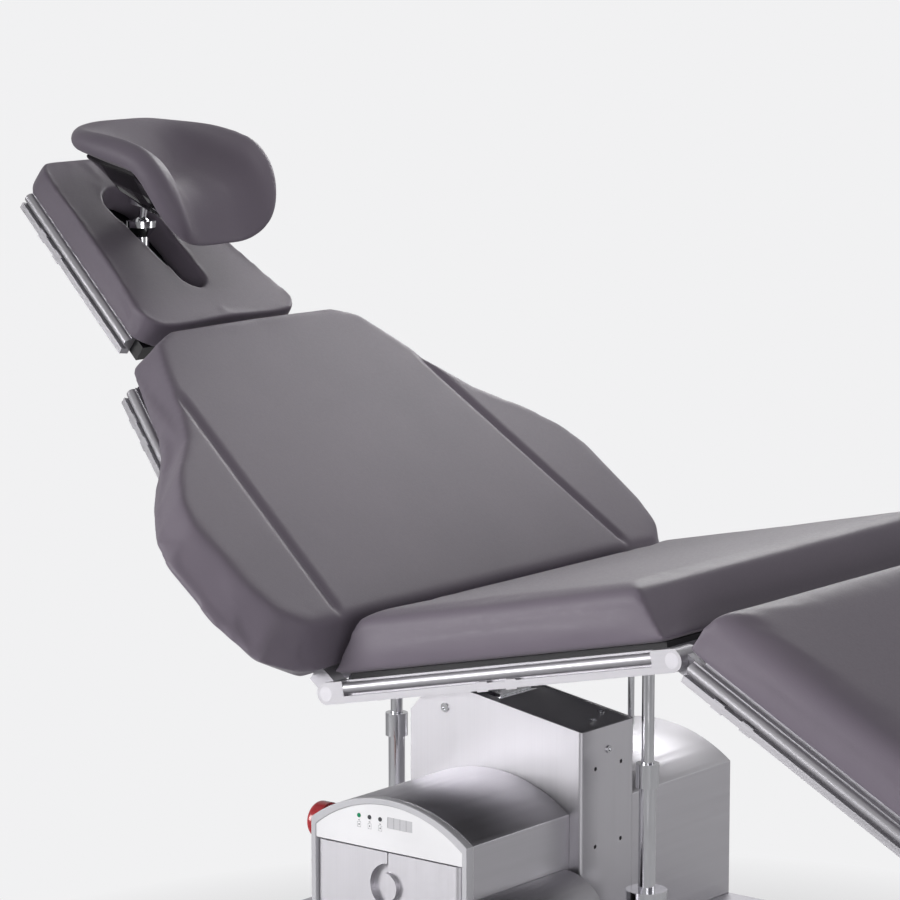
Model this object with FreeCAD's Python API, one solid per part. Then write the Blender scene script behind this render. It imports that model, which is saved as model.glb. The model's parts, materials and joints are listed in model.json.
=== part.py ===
import FreeCAD, Part
import math
import os

from FreeCAD import Vector

os.makedirs("parts", exist_ok=True)

# Operating table in its chair position. Millimetres, +Z up, the floor is z = 0.
# +X runs towards the leg end, +Y away from the side with the control panel.
# Every cushioned section has its own frame: u along the section from its hinge,
# y across the table and w square to the section, away from the floor.

# Overall places
hinge_height = 490.0
hinge_x = -136.5
seat_tilt = 12.2
back_angle = 36.8
leg_angle = 28.0
running_gap = 0.05
seat_gap = 0.3
soft_gap = 1.0

# Seat section
seat_length = 480.0
seat_start = 13.0
seat_top_start = 45.0
board_rear = 30.0
board_front = 12.0
seat_rail_start = 26.0
lip_shift = 4.0
table_width = 600.0
rail_height = 25.0
rail_depth = 13.0
rail_web = 6.0
bead_radius = 6.5
bead_rise = 4.0
flange_height = 8.0
lip_width = 15.0
lip_drop = 1.5
lip_spacing = 40.0
lug_radius = 12.5
pin_radius = 8.5
lug_width = 13.0
cushion_base = 19.0
seat_cushion_top = 82.0
seat_edge_height = 70.0
seat_front_slope = 32.0
cushion_round = 14.0
hinge_wedge = 42.0
frame_rear = 70.0
frame_inset = 24.0
beam_half = 22.0
arm_width = 14.0
arm_gap = 16.0
member_width = 30.0
member_height = 22.0
member_inset = 54.0
drive_inset = 56.0
drive_length = 120.0
drive_radius = 15.0
bracket_width = 20.0

# Back section
back_length = 522.0
back_start = 14.0
back_crease_height = 74.0
back_rim_height = 83.0
back_flare_height = 25.0
back_underside = -10.0
bolster_inset = 36.0
frame_inset_side = 2.0
pan_drop = 2.0
back_arm = 30.0
back_arm_tip = 22.0
back_neck_inset = 150.0
pan_cross = 26.0
lug_reach = 34.0
head_reach = 34.0
back_bottom_wedge = 0.6
back_rail_top = 487.0
back_rail_bottom = 330.0
back_rail_inset = 95.0
back_rail_taper = 20.0
back_lug_width = 20.0

# Head plate
head_hinge = 529.0
head_start = 542.0
head_end = 850.0
head_half_low = 143.0
head_half_high = 84.0
head_pad_top = 50.0
head_corner = 30.0
head_rail_low = 566.0
head_rail_high = 835.0
head_rail_out = 3.0
head_slot_low = 602.0
head_slot_high = 790.0
head_slot_half = 20.0
head_slot_flare = 34.0
slot_step = 4.0
head_frame_height = 20.0
head_lug_half = 60.0
head_lug_width = 24.0
head_lug_radius = 9.0
head_pin_radius = 5.0
head_ear_reach = 62.0
head_tray_wall = 26.0
head_tray_floor = 4.0
head_tray_end = 40.0
head_guide_wall = 10.0

# Head clamp and head cup
clamp_place = 702.0
clamp_length = 64.0
clamp_lip = 5.0
post_radius = 9.5
post_height = 22.0
cup_ring_radius = 18.5
cup_ring_height = 20.0
ball_radius = 11.0
ball_gap = 0.35
neck_radius = 5.0
stem_gap = 0.3
stem_foot_radius = 20.0
cup_tilt = 11.7
cup_ahead = 43.0
cup_rise = 82.5
cup_half_length = 100.0
cup_neck_length = 92.0
cup_half_width = 102.0
cup_squareness = 3.9
cup_side_rise = 26.0
cup_neck_drop = 68.0
cup_neck_side_drop = 40.0
cup_neck_bend = 2.7
cup_pad = 26.0
cup_steps = 5
shell_inset = 6.0
shell_depth = 42.0
shell_wall = 3.5
shell_rim = 5.0
shell_gap = 0.8

# Leg section
leg_length = 500.0
leg_cushion_top = 82.0
leg_start = 12.0
leg_rail_start = 20.0
leg_rail_end = 30.0
leg_frame_end = 36.0
leg_cross_start = 60.0

# Column housing and lift
housing_offset = 46.5
housing_length = 252.0
housing_width = 103.0
housing_wall = 2.5
housing_low = 160.0
housing_high_end = 464.0
housing_slope = 9.06
housing_chamfer = 38.0
top_plate = 3.0
plate_lip = 1.0
mast_offset = 8.0
mast_outer_side = 70.0
mast_wall = 5.0
mast_gap = 0.5
mast_bottom = 140.0
mast_floor = 6.0
mast_inner_wall = 4.0
yoke_bridge = 6.0
tilt_height = 484.0
tilt_pin_radius = 9.0
yoke_half = 44.0
yoke_ear = 12.0
yoke_radius = 15.0
seat_ear = 10.0
hole_radius = 2.5
hole_spacing_y = 50.0
hole_spacing_z = 92.0
hole_low = 285.0
plate_screws = ((22.0, 0.0), (36.0, 34.0))
end_screw_height = 396.0
side_screw = (52.0, 426.0)

# Struts
front_strut_offset = 228.0
rear_strut_offset = -143.0
strut_rod_radius = 7.2
strut_tube_radius = 10.0
strut_bore_gap = 0.4
collar_radius = 13.5
collar_height = 28.0
front_collar_top = 388.0
rear_collar_top = 394.0
strut_bottom = 90.0
strut_floor = 4.0
strut_travel = 65.0
socket_radius = 24.0
socket_top = 239.0
sensor_offset = 154.0
sensor_y = 70.0
sensor_radius = 3.8
sensor_low = 410.0
hook_offset = 105.0
hook_y = 33.0
hook_radius = 3.2
hook_bend = 10.0
hook_drop = 12.0
rod_head_radius = 9.0
rod_head_gap = 5.0
strut_pocket_gap = 12.0
pocket_wall = 4.0
pocket_depth = 10.0
arm_drop = 4.0
arm_height = 14.0
fork_plate = 6.0

# Side boxes
box_offset = 41.5
box_width = 227.0
near_box_front = -242.7
far_box_end = 278.0
box_edge = 326.0
box_apex = 363.5
box_bottom = 160.0
box_wall = 2.5
bezel_depth = 12.0
bezel_rim = 7.0
panel_depth = 3.0
door_top = 302.0
door_bottom = 172.0
door_margin = 9.0
door_thickness = 14.0
door_gap = 1.5
door_pin_radius = 3.0
grip_drop = 22.0
grip_radius = 17.0
recess_radius = 26.0
display_width = 36.0
display_height = 13.0
display_offset = 17.0
display_above = 35.0
lamp_radius = 2.6
lamp_spacing = 15.5
lamp_offset = -27.0
stop_radius = 22.0
stop_height = 20.0
stop_travel = 4.0
stop_y = -190.0
stop_z = 307.0
stop_stem_radius = 8.0
stop_collar_radius = 14.0
stop_collar_depth = 11.0
control_size = (140.0, 70.0, 60.0)
control_y = -115.0
battery_size = (160.0, 140.0, 110.0)
battery_y = 160.0

# Chassis and castors
chassis_low = 122.0
chassis_high = 160.0
chassis_half_length = 280.0
chassis_half_width = 240.0
chassis_beam = 60.0
beam_offset = 120.0
beam_width = 50.0
floor_sheet = 6.0
mast_foot = 60.0
cover_radius = 62.0
cover_top = 263.0
cover_gap = 60.0
wheel_radius = 50.0
wheel_width = 28.0
axle_radius = 5.0
fork_wall = 4.0
fork_gap = 2.0
fork_trail = 28.0
fork_top = 112.0
fork_half = 22.0
fork_plate_height = 6.0
fork_boss = 14.0
fork_foot = 12.0
stem_radius = 10.0
stem_length = 30.0
castor_inset_x = 32.0
castor_inset_y = 26.0
pedal_length = 90.0
pedal_width = 60.0
pedal_thickness = 8.0
pedal_height = 100.0
pedal_pin_radius = 6.0

# Derived places
hinge = Vector(hinge_x, 0, hinge_height)
tilt = math.radians(seat_tilt)
leg_hinge = hinge + Vector(seat_length * math.cos(tilt), 0, seat_length * math.sin(tilt))
housing_x = hinge_x + housing_offset
housing_front = housing_x + housing_length / 2
housing_rear = housing_x - housing_length / 2
mast_x = hinge_x + mast_offset
tilt_axis = Vector(mast_x, 0, tilt_height)
front_strut_x = hinge_x + front_strut_offset
rear_strut_x = hinge_x + rear_strut_offset
box_x = hinge_x + box_offset
box_front = box_x + box_width / 2
box_rear = box_x - box_width / 2
half_width = table_width / 2
rail_inner = half_width - rail_depth
member_offset = half_width - member_inset
drive_outer = half_width - drive_inset
bolster_inner = half_width - bolster_inset
frame_half = bolster_inner - frame_inset_side
back_rail_half = half_width - back_rail_inset
section_base = -rail_height / 2
board_thickness = cushion_base - rail_height / 2 - seat_gap
frame_end = seat_length - frame_inset
X = Vector(1, 0, 0)
Y = Vector(0, 1, 0)
Z = Vector(0, 0, 1)


def save(name, *solids):
    # One file holds one node; a node with several pieces keeps them as separate solids.
    shape = solids[0] if len(solids) == 1 else Part.makeCompound(list(solids))
    shape.exportStep("parts/" + name + ".step")


def block(x0, x1, y0, y1, z0, z1):
    return Part.makeBox(x1 - x0, y1 - y0, z1 - z0, Vector(x0, y0, z0))


def rod(start, along, radius, length):
    return Part.makeCylinder(radius, length, start, along)


def pipe(start, along, outer, inner, length):
    return rod(start, along, outer, length).cut(rod(start, along, inner, length))


def prism(points, push):
    face = Part.Face(Part.makePolygon(points + [points[0]]))
    return face.extrude(push)


def seat_place(shape):
    # Puts a solid drawn in the seat section's frame into the table.
    shape = shape.copy()
    shape.rotate(Vector(0, 0, 0), Y, -seat_tilt)
    shape.translate(hinge)
    return shape


def back_place(shape):
    # In the back section's frame u runs along -X.
    shape = shape.copy()
    shape.rotate(Vector(0, 0, 0), Y, back_angle)
    shape.translate(hinge)
    return shape


def leg_place(shape):
    shape = shape.copy()
    shape.rotate(Vector(0, 0, 0), Y, leg_angle)
    shape.translate(leg_hinge)
    return shape


def on_back(u, y, w):
    angle = math.radians(back_angle)
    x = -u * math.cos(angle) + w * math.sin(angle)
    z = u * math.sin(angle) + w * math.cos(angle)
    return hinge + Vector(x, y, z)


def side_rail(start, end, side, lip_places):
    # A rail of the near side: a web with a round bead above and a flat flange below.
    outer = side * half_width
    web = outer - side * (rail_depth - rail_web)
    inner = outer - side * rail_depth
    low = section_base
    high = -section_base
    rail = block(start, end, min(web, inner), max(web, inner), low, high)
    bead_centre = outer - side * bead_radius
    rail = rail.fuse(rod(Vector(start, bead_centre, bead_rise), X, bead_radius, end - start))
    flange = block(start, end, min(outer, inner), max(outer, inner), low, low + flange_height)
    rail = rail.fuse(flange)
    for place in lip_places:
        lip_low = low - lip_drop
        lip = block(place - lip_width / 2, place + lip_width / 2, min(outer, inner),
                    max(outer, inner), lip_low, low + flange_height + lip_drop)
        rail = rail.fuse(lip)
    return rail.removeSplitter()


def hinge_lug(u, reach, side):
    # The round end of a rail, with the bore of its hinge pin.
    outer = side * half_width
    inner = outer - side * lug_width
    start = Vector(u, min(outer, inner), 0)
    lug = rod(start, Y, lug_radius, lug_width)
    lug = lug.fuse(block(min(u, u + reach), max(u, u + reach), min(outer, inner),
                         max(outer, inner), -lug_radius, lug_radius))
    return lug.cut(rod(start, Y, pin_radius + running_gap, lug_width))


def seat_rails():
    rails = []
    reach = seat_rail_start
    middle = seat_length / 2 + lip_shift
    places = [middle - lip_spacing / 2, middle + lip_spacing / 2]
    for side in (-1, 1):
        rail = side_rail(reach, seat_length - reach, side, places)
        rail = rail.fuse(hinge_lug(0, reach, side)).fuse(hinge_lug(seat_length, -reach, side))
        rails.append(seat_place(rail.removeSplitter()))
    return rails


def seat_frame():
    # Two side members, two cross members and a middle beam that stands on the tilt pin.
    top = -section_base
    low = top - member_height
    inner = member_offset
    start = frame_inset
    end = frame_end
    shape = block(start, end, -rail_inner, -inner, low, top)
    shape = shape.fuse(block(start, end, inner, rail_inner, low, top))
    shape = shape.fuse(block(end - member_width, end, -inner, inner, low, top))
    rear = frame_rear
    shape = shape.fuse(block(rear, rear + member_width, -inner, inner, low, top))
    ear_outer = yoke_half + yoke_ear + seat_gap + seat_ear
    for side in (-1, 1):
        y0 = side * (yoke_half + yoke_ear + seat_gap)
        y1 = side * ear_outer
        shape = shape.fuse(block(0, rear, min(y0, y1), max(y0, y1), low, top))
    shape = seat_place(shape)
    # Ears on the tilt axis.
    for side in (-1, 1):
        y0 = side * (yoke_half + yoke_ear + seat_gap)
        y1 = side * ear_outer
        start_point = Vector(tilt_axis.x, min(y0, y1), tilt_axis.z)
        shape = shape.fuse(rod(start_point, Y, yoke_radius, seat_ear))
    bore = Vector(tilt_axis.x, -ear_outer, tilt_axis.z)
    shape = shape.cut(rod(bore, Y, tilt_pin_radius, 2 * ear_outer))
    return shape.removeSplitter()


def seat_u(x, w):
    # Place along the seat section of a point at height w that stands over the table's x.
    return (x - hinge_x + w * math.sin(tilt)) / math.cos(tilt)


def seat_point_height(u, w):
    return hinge_height + u * math.sin(tilt) + w * math.cos(tilt)


def fork_level():
    # Level of the fork's upper face in the seat section.
    return section_base - arm_drop


def strut_pocket(u, roof):
    # A round pocket, open below, that the head of a strut's rod stands in with room to spare.
    outer = rod_head_radius + strut_pocket_gap + pocket_wall
    start = Vector(u, 0, roof - pocket_depth)
    return pipe(start, Z, outer, outer - pocket_wall, pocket_depth)


def strut_carrier():
    # Under the seat: a beam with the front strut's pocket, and a fork that reaches back past the
    # column housing on both sides and ends in the rear strut's pocket.
    roof = -section_base - member_height
    beam = block(frame_rear + member_width, frame_end - member_width, -beam_half, beam_half,
                 roof, -section_base)
    front = beam.fuse(strut_pocket(seat_u(front_strut_x, roof - pocket_depth / 2), roof))
    top = fork_level()
    inner = housing_width / 2 + arm_gap
    outer = inner + arm_width
    under = top - fork_plate
    u = seat_u(rear_strut_x, under - pocket_depth / 2)
    half = rod_head_radius + strut_pocket_gap + pocket_wall
    fork = block(u - half, u + half, -outer, outer, under, top)
    for side in (-1, 1):
        y0 = min(side * inner, side * outer)
        y1 = max(side * inner, side * outer)
        fork = fork.fuse(block(u - half, frame_rear + arm_width, y0, y1, top - arm_height, top))
        fork = fork.fuse(block(frame_rear + seat_gap, frame_rear + arm_width, y0, y1, top, roof))
    fork = fork.fuse(strut_pocket(u, under))
    return [seat_place(piece.removeSplitter()) for piece in (front, fork)]


def front_rod_top():
    roof = -section_base - member_height
    u = seat_u(front_strut_x, roof)
    return seat_point_height(u, roof) - rod_head_gap


def rear_rod_top():
    under = fork_level() - fork_plate
    return seat_point_height(seat_u(rear_strut_x, under), under) - rod_head_gap


def seat_board():
    top = -section_base
    board = block(board_rear, seat_length - board_front, -rail_inner, rail_inner, top,
                  top + board_thickness)
    return seat_place(board)


def seat_cushion():
    # Side profile: sloped ends leave room for the neighbours' swing.
    points = [Vector(seat_start, -half_width, cushion_base),
              Vector(seat_length - 2.0, -half_width, cushion_base),
              Vector(seat_length - seat_front_slope, -half_width, seat_cushion_top),
              Vector(seat_start + seat_top_start, -half_width, seat_cushion_top)]
    body = prism(points, Vector(0, table_width, 0))
    edges = [edge for edge in body.Edges if edge.BoundBox.YLength > table_width - 1
             and edge.CenterOfMass.z > seat_edge_height]
    sides = [edge for edge in body.Edges if edge.BoundBox.YLength < 1
             and edge.CenterOfMass.z > seat_cushion_top - 1]
    body = body.makeFillet(cushion_round, edges + sides)
    return seat_place(body)


def hinge_pins():
    # Pins on both sides of the two seat hinges, each through its rail lug and its section's lug.
    pins = []
    for place in (hinge, leg_hinge):
        for side in (-1, 1):
            outer = side * half_width
            inner = side * drive_outer
            start = Vector(place.x, min(outer, inner), place.z)
            pins.append(rod(start, Y, pin_radius, abs(outer - inner)))
    return pins


def section_lug(u, reach, side):
    # The lug of a hinged section, just inside the rail's lug.
    outer = side * (half_width - lug_width - seat_gap)
    inner = outer - side * back_lug_width
    start = Vector(u, min(outer, inner), 0)
    lug = rod(start, Y, lug_radius, back_lug_width)
    lug = lug.fuse(block(min(u, u + reach), max(u, u + reach), min(outer, inner),
                         max(outer, inner), -lug_radius, lug_radius - 2.0))
    return lug, rod(start, Y, pin_radius + running_gap, back_lug_width)


def hinge_drives():
    # Tube motors that turn the back's hinge pins, held by the seat frame's rear cross member.
    drives = []
    for side in (-1, 1):
        y0 = side * (drive_outer - drive_length)
        y1 = side * drive_outer
        y2 = y0 + side * bracket_width
        body = rod(Vector(0, min(y0, y1), 0), Y, drive_radius, drive_length)
        bracket = block(0, frame_rear, min(y0, y2), max(y0, y2), -drive_radius / 2, drive_radius / 2)
        drives.append(seat_place(body.fuse(bracket).removeSplitter()))
    return drives


def back_half_wires():
    # Half outlines of the back cushion: u and how far the edge lies outside the table's side.
    # The first and the last point lie on the middle line.
    rim = [(30, 0), (52, 39), (74, 62), (114, 71), (224, 71), (262, 57), (300, 26), (350, -32),
           (400, -64), (450, -86), (500, -114), (516, -150)]
    flare = [(16, 12), (24, 52), (48, 88), (110, 103), (200, 100), (240, 84), (286, 46),
             (329, -4), (389, -48), (440, -72), (502, -102), (518, -144)]
    wires = []
    for points, first, last in ((rim, 30, back_length - 2.0), (flare, 16, back_length)):
        wires.append([(first, 0.0)] + beside_table(points) + [(last, 0.0)])
    return wires


def beside_table(points):
    return [(u, half_width + out) for u, out in points]


def outline(points, w):
    near = [Vector(-u, -y, w) for u, y in points]
    far = [Vector(-u, y, w) for u, y in reversed(points[1:-1])]
    loop = near + far
    return Part.makePolygon(loop + [loop[0]])


def back_cushion():
    rim, flare = back_half_wires()
    body = Part.makeLoft([outline(flare, cushion_base), outline(flare, back_flare_height),
                          outline(rim, back_crease_height)], True, True)
    low = beside_table([(36, 3), (76, 47), (152, 55), (264, 37), (313, 3), (345, -28)])
    high = beside_table([(24, 45), (48, 86), (110, 101), (240, 82), (286, 44), (345, -17)])
    for side in (-1, 1):
        wires = []
        for points, w in ((low, back_underside), (high, back_flare_height)):
            loop = [Vector(-u, side * y, w) for u, y in points]
            loop.append(Vector(-points[-1][0], side * bolster_inner, w))
            loop.append(Vector(-points[0][0], side * bolster_inner, w))
            wires.append(Part.makePolygon(loop + [loop[0]]))
        body = body.fuse(Part.makeLoft(wires, True, True))
    # The bottom end leans back, so that it clears the seat when the back is raised.
    reach = 1.5 * back_rim_height
    beyond = table_width
    lean = back_bottom_wedge * (reach - cushion_base)
    cutter = prism([Vector(-back_start, -beyond, 2 * back_underside),
                    Vector(hinge_wedge, -beyond, 2 * back_underside),
                    Vector(hinge_wedge, -beyond, reach), Vector(-back_start - lean, -beyond, reach),
                    Vector(-back_start, -beyond, cushion_base)], Vector(0, 2 * beyond, 0))
    body = body.cut(cutter)
    # Notches in the bolsters leave room for the hinge lugs.
    outer = half_width - lug_width + soft_gap
    for side in (-1, 1):
        body = body.cut(block(-lug_reach - soft_gap, 0, min(side * frame_half, side * outer),
                              max(side * frame_half, side * outer), 2 * back_underside, cushion_base))
    return back_place(body.removeSplitter())


def back_rail_inner(u):
    # Distance from the middle to the inner face of the back's raked rail.
    rake = math.radians(back_rail_taper)
    outer = back_rail_half + (back_rail_top - u) * math.tan(rake)
    return outer - rail_depth / math.cos(rake) - running_gap


def back_frame():
    # A pressed tray: two raking side members, cross members, hinge lugs and the head hinge's ears.
    top = -section_base
    low = -top + 3.0
    end = head_hinge - head_reach
    arm_start = 20.0
    waist = 250.0
    neck_half = half_width - back_neck_inset
    board_waist = back_rail_inner(back_rail_bottom) - seat_gap
    shape = None
    for side in (-1, 1):
        lug, bore = section_lug(0, -lug_reach, side)
        foot = side * (half_width - lug_width - seat_gap)
        points = [Vector(-arm_start, foot, low),
                  Vector(-arm_start, side * (frame_half - back_arm), low),
                  Vector(-end, side * (neck_half - back_arm_tip), low),
                  Vector(-end, side * neck_half, low),
                  Vector(-back_rail_top, side * back_rail_inner(back_rail_top), low),
                  Vector(-back_rail_bottom, side * back_rail_inner(back_rail_bottom), low),
                  Vector(-waist, side * frame_half, low),
                  Vector(-lug_reach, side * frame_half, low), Vector(-lug_reach, foot, low)]
        arm = prism(points, Vector(0, 0, top - low - pan_drop)).fuse(lug).cut(bore)
        shape = arm if shape is None else shape.fuse(arm)
    for u, half in ((60.0, frame_half - 22.0), (300.0, frame_half - 57.0),
                    (end - 30.0, neck_half - 15.0)):
        shape = shape.fuse(block(-u - pan_cross, -u, -half, half, low, top - pan_drop))
    board = prism([Vector(-u, s * y, top - pan_drop) for s, pts in
                   ((-1, [(40, frame_half), (waist, frame_half), (back_rail_bottom, board_waist),
                          (end, neck_half)]),
                    (1, [(end, neck_half), (back_rail_bottom, board_waist), (waist, frame_half),
                         (40, frame_half)]))
                   for u, y in pts],
                  Vector(0, 0, board_thickness + pan_drop))
    shape = shape.fuse(board)
    for side in (-1, 1):
        y0 = side * head_lug_half
        y1 = side * (head_lug_half + head_lug_width)
        start = Vector(-head_hinge, min(y0, y1), 0)
        ear = rod(start, Y, head_lug_radius, head_lug_width)
        ear = ear.fuse(block(-head_hinge, -head_hinge + head_ear_reach, min(y0, y1), max(y0, y1),
                             -head_lug_radius, head_lug_radius - 2.0))
        shape = shape.fuse(ear).cut(rod(start, Y, head_pin_radius + running_gap, head_lug_width))
    return back_place(shape.removeSplitter())


def raked_rails(low_u, high_u, low_half, taper, lip_places):
    # Short rails of the same section that follow the raked edges of the back and the head plate.
    length = (high_u - low_u) / math.cos(math.radians(taper))
    rails = []
    for side in (-1, 1):
        rail = side_rail(0, length, side, lip_places)
        rail.translate(Vector(0, -side * half_width, 0))
        rail.rotate(Vector(0, 0, 0), Z, 180.0)
        rail = rail.mirror(Vector(0, 0, 0), Y)
        rail.rotate(Vector(0, 0, 0), Z, side * taper)
        rail.translate(Vector(-low_u, side * low_half, 0))
        rails.append(back_place(rail))
    return rails


def back_rails():
    drop = (back_rail_top - back_rail_bottom) * math.tan(math.radians(back_rail_taper))
    middle = 90.0
    return raked_rails(back_rail_bottom, back_rail_top, back_rail_half + drop, back_rail_taper,
                       [middle, middle + lip_spacing])


def head_taper():
    return math.degrees(math.atan2(head_half_low - head_half_high, head_end - head_start))


def head_half(u):
    share = (u - head_start) / (head_end - head_start)
    return head_half_low + (head_half_high - head_half_low) * share


def head_outline(inset, w, start, end):
    return [Vector(-start, -head_half(start) + inset, w), Vector(-start, head_half(start) - inset, w),
            Vector(-end, head_half(end) - inset, w), Vector(-end, -head_half(end) + inset, w)]


def slot_cutter(half, flare, low, high, w0, w1):
    # A slot with round ends that may widen towards the head end.
    corners = [(low + half, -half), (high - flare, -flare), (high - flare, flare), (low + half, half)]
    shape = prism([Vector(-u, y, w0) for u, y in corners], Vector(0, 0, w1 - w0))
    for u, radius in ((low + half, half), (high - flare, flare)):
        shape = shape.fuse(rod(Vector(-u, 0, w0), Z, radius, w1 - w0))
    return shape


def head_pad():
    base = seat_gap - section_base
    body = prism(head_outline(0.0, base, head_start, head_end), Vector(0, 0, head_pad_top - base))
    corners = [edge for edge in body.Edges if edge.BoundBox.ZLength > 5
               and edge.BoundBox.XLength < 1]
    body = body.makeFillet(head_corner, corners)
    body = body.cut(slot_cutter(head_slot_half, head_slot_flare, head_slot_low, head_slot_high, 0,
                                head_pad_top + 1))
    return back_place(body)


def head_frame():
    # A flat tray with the slot of the head clamp, carried at its lower end by the head hinge.
    top = -section_base
    low = top - head_frame_height
    inset = rail_depth / math.cos(math.radians(head_taper())) - head_rail_out + running_gap
    shape = prism(head_outline(inset, low, head_start + 4.0, head_end - 14.0),
                  Vector(0, 0, head_frame_height))
    start = head_start + head_tray_end
    end = head_end - head_tray_end
    hollow = prism(head_outline(inset + head_tray_wall, low, start, end),
                   Vector(0, 0, head_frame_height - head_tray_floor))
    shape = shape.cut(hollow)
    guide_half = head_slot_half + head_guide_wall
    guide = block(-end, -start, -guide_half, guide_half, low + head_tray_floor, top)
    shape = shape.fuse(guide)
    half = head_slot_half - slot_step
    shape = shape.cut(slot_cutter(half, half, head_slot_low - slot_step, head_slot_high + slot_step,
                                  low - 1.0, top + 1.0))
    relief = head_lug_width + 2.0 * seat_gap
    for side in (-1, 1):
        y0 = side * (head_lug_half - seat_gap)
        y1 = y0 + side * relief
        shape = shape.cut(block(-head_hinge - head_lug_radius - 8.0, -head_hinge + 20.0,
                                min(y0, y1), max(y0, y1), low - 1.0, top + 1.0))
    ear_half = head_lug_half - seat_gap
    ear = rod(Vector(-head_hinge, -ear_half, 0), Y, head_lug_radius, 2.0 * ear_half)
    web = block(-head_start - 6.0, -head_hinge, -ear_half, ear_half, -head_lug_radius,
                head_lug_radius - 2.0)
    shape = shape.fuse(ear).fuse(web)
    shape = shape.cut(rod(Vector(-head_hinge, -ear_half, 0), Y, head_pin_radius + running_gap,
                          2.0 * ear_half))
    return back_place(shape.removeSplitter())


def head_rails():
    length_u = head_rail_high - head_rail_low
    middle = length_u / 2 + lip_spacing
    places = [middle, middle + lip_spacing]
    return raked_rails(head_rail_low, head_rail_high, head_half(head_rail_low) + head_rail_out,
                       head_taper(), places)


def head_hinge_pin():
    half = head_lug_half + head_lug_width
    return back_place(rod(Vector(-head_hinge, -half, 0), Y, head_pin_radius, 2.0 * half))


def clamp_block():
    # A carriage that runs in the slot: a body between the slot's walls and a flange below it.
    half = head_slot_half - slot_step - seat_gap
    top = -section_base
    low = top - head_frame_height
    u0 = clamp_place - clamp_length / 2
    u1 = clamp_place + clamp_length / 2
    body = block(-u1, -u0, -half, half, low - seat_gap - 5.0, top + 8.0)
    foot = block(-u1, -u0, -half - clamp_lip, half + clamp_lip, low - seat_gap - 5.0, low - seat_gap)
    foot.translate(Vector(0, 0, 4.0))
    return back_place(body.fuse(foot).removeSplitter())


def clamp_foot():
    return on_back(clamp_place, 0, -section_base + 2.0)


def clamp_post():
    # An upright post with a cup-shaped ring that holds the ball.
    foot = clamp_foot()
    post = rod(foot, Z, post_radius, post_height)
    ring_base = foot + Vector(0, 0, post_height)
    ring = Part.makeCone(post_radius, cup_ring_radius, cup_ring_height * 0.6, ring_base, Z)
    ring = ring.fuse(rod(ring_base + Vector(0, 0, cup_ring_height * 0.6), Z, cup_ring_radius,
                         cup_ring_height * 0.4))
    ball_hole = Part.makeSphere(ball_radius + ball_gap, ball_centre())
    shape = post.fuse(ring).cut(ball_hole)
    mouth = rod(ball_centre(), Z, ball_radius + ball_gap, cup_ring_height)
    shape = shape.cut(mouth)
    carriage = clamp_block()
    return shape.cut(carriage).removeSplitter()


def ball_centre():
    return clamp_foot() + Vector(0, 0, post_height + cup_ring_height * 0.72)


def cup_place(shape):
    # The head cup's own frame starts at the ball: x towards the neck, z away from the plate.
    shape = shape.copy()
    shape.rotate(Vector(0, 0, 0), Y, cup_tilt)
    shape.translate(ball_centre())
    return shape


def cup_height(x, y):
    # The cup's middle surface rises at both sides and at the head end, and rolls down at the neck.
    along = (x - cup_ahead) / cup_half_length
    across = (y / cup_half_width) ** 2
    if along > 0:
        drop = cup_neck_drop + cup_neck_side_drop * across
        return cup_rise + cup_side_rise * across - drop * along ** cup_neck_bend
    return cup_rise + cup_side_rise * (across + (1.0 - across) * along ** 2)


def cup_steepness(x, y):
    # How much deeper a pad of even thickness is, measured straight down, where it slopes.
    step = 0.5
    slope = (cup_height(x + step, y) - cup_height(x - step, y)) / (2.0 * step)
    return math.sqrt(1.0 + slope ** 2)


def cup_reach(side):
    return cup_neck_length if side > 0 else cup_half_length


def cup_half(x, grow):
    share = abs(x - cup_ahead) / (cup_reach(x - cup_ahead) + grow)
    return (cup_half_width + grow) * (1.0 - share ** cup_squareness) ** (1.0 / cup_squareness)


def cup_section(x, half, top, low, edge):
    # A closed outline across the cup at one place: over the top, round the edge and back below.
    steps = [index / cup_steps for index in range(-cup_steps, cup_steps + 1)]
    flat = half - edge
    over = [Vector(x, flat * step, top(x, flat * step)) for step in steps]
    under = [Vector(x, flat * step, low(x, flat * step)) for step in reversed(steps)]
    far = Vector(x, half, (over[-1].z + under[0].z) / 2)
    near = Vector(x, -half, (over[0].z + under[-1].z) / 2)
    loop = over + [far] + under + [near]
    return Part.makePolygon(loop + [loop[0]])


def cup_cushion():
    wires = []
    radius = cup_pad / 2
    stations = [(-1, share) for share in (0.92, 0.6)]
    stations += [(index / 4.0, 0.0) for index in range(-4, 1)]
    stations += [(index / 8.0, 0.0) for index in range(1, 9)]
    stations += [(1, share) for share in (0.6, 0.92)]
    for station, share in stations:
        x = cup_ahead + cup_reach(station) * station + math.copysign(radius * share, station)
        thin = radius * math.sqrt(1.0 - share * share)

        def top(u, y):
            return cup_height(u, y) + thin * cup_steepness(u, y)

        def low(u, y):
            return cup_height(u, y) - thin * cup_steepness(u, y)

        wires.append(cup_section(x, cup_half(x, radius), top, low, thin))
    return cup_place(Part.makeLoft(wires, True, True))


def shell_dish(inset, depth):
    # A shallow dish whose rim follows the pad's underside.
    wires = []
    for station in (-0.95, -0.75, -0.4, 0.0, 0.2, 0.4, 0.55, 0.65):
        x = cup_ahead + (cup_half_length - inset) * station
        half = cup_half(x, -inset)
        deep = depth * (1.0 - station ** 2)

        def top(u, y):
            return cup_height(u, y) - (cup_pad / 2 + shell_gap) * cup_steepness(u, y)

        def low(u, y):
            return top(u, y) - shell_rim - deep * (1.0 - (y / half) ** 2)

        wires.append(cup_section(x, half, top, low, shell_rim / 2))
    return Part.makeLoft(wires, True, True)


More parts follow.
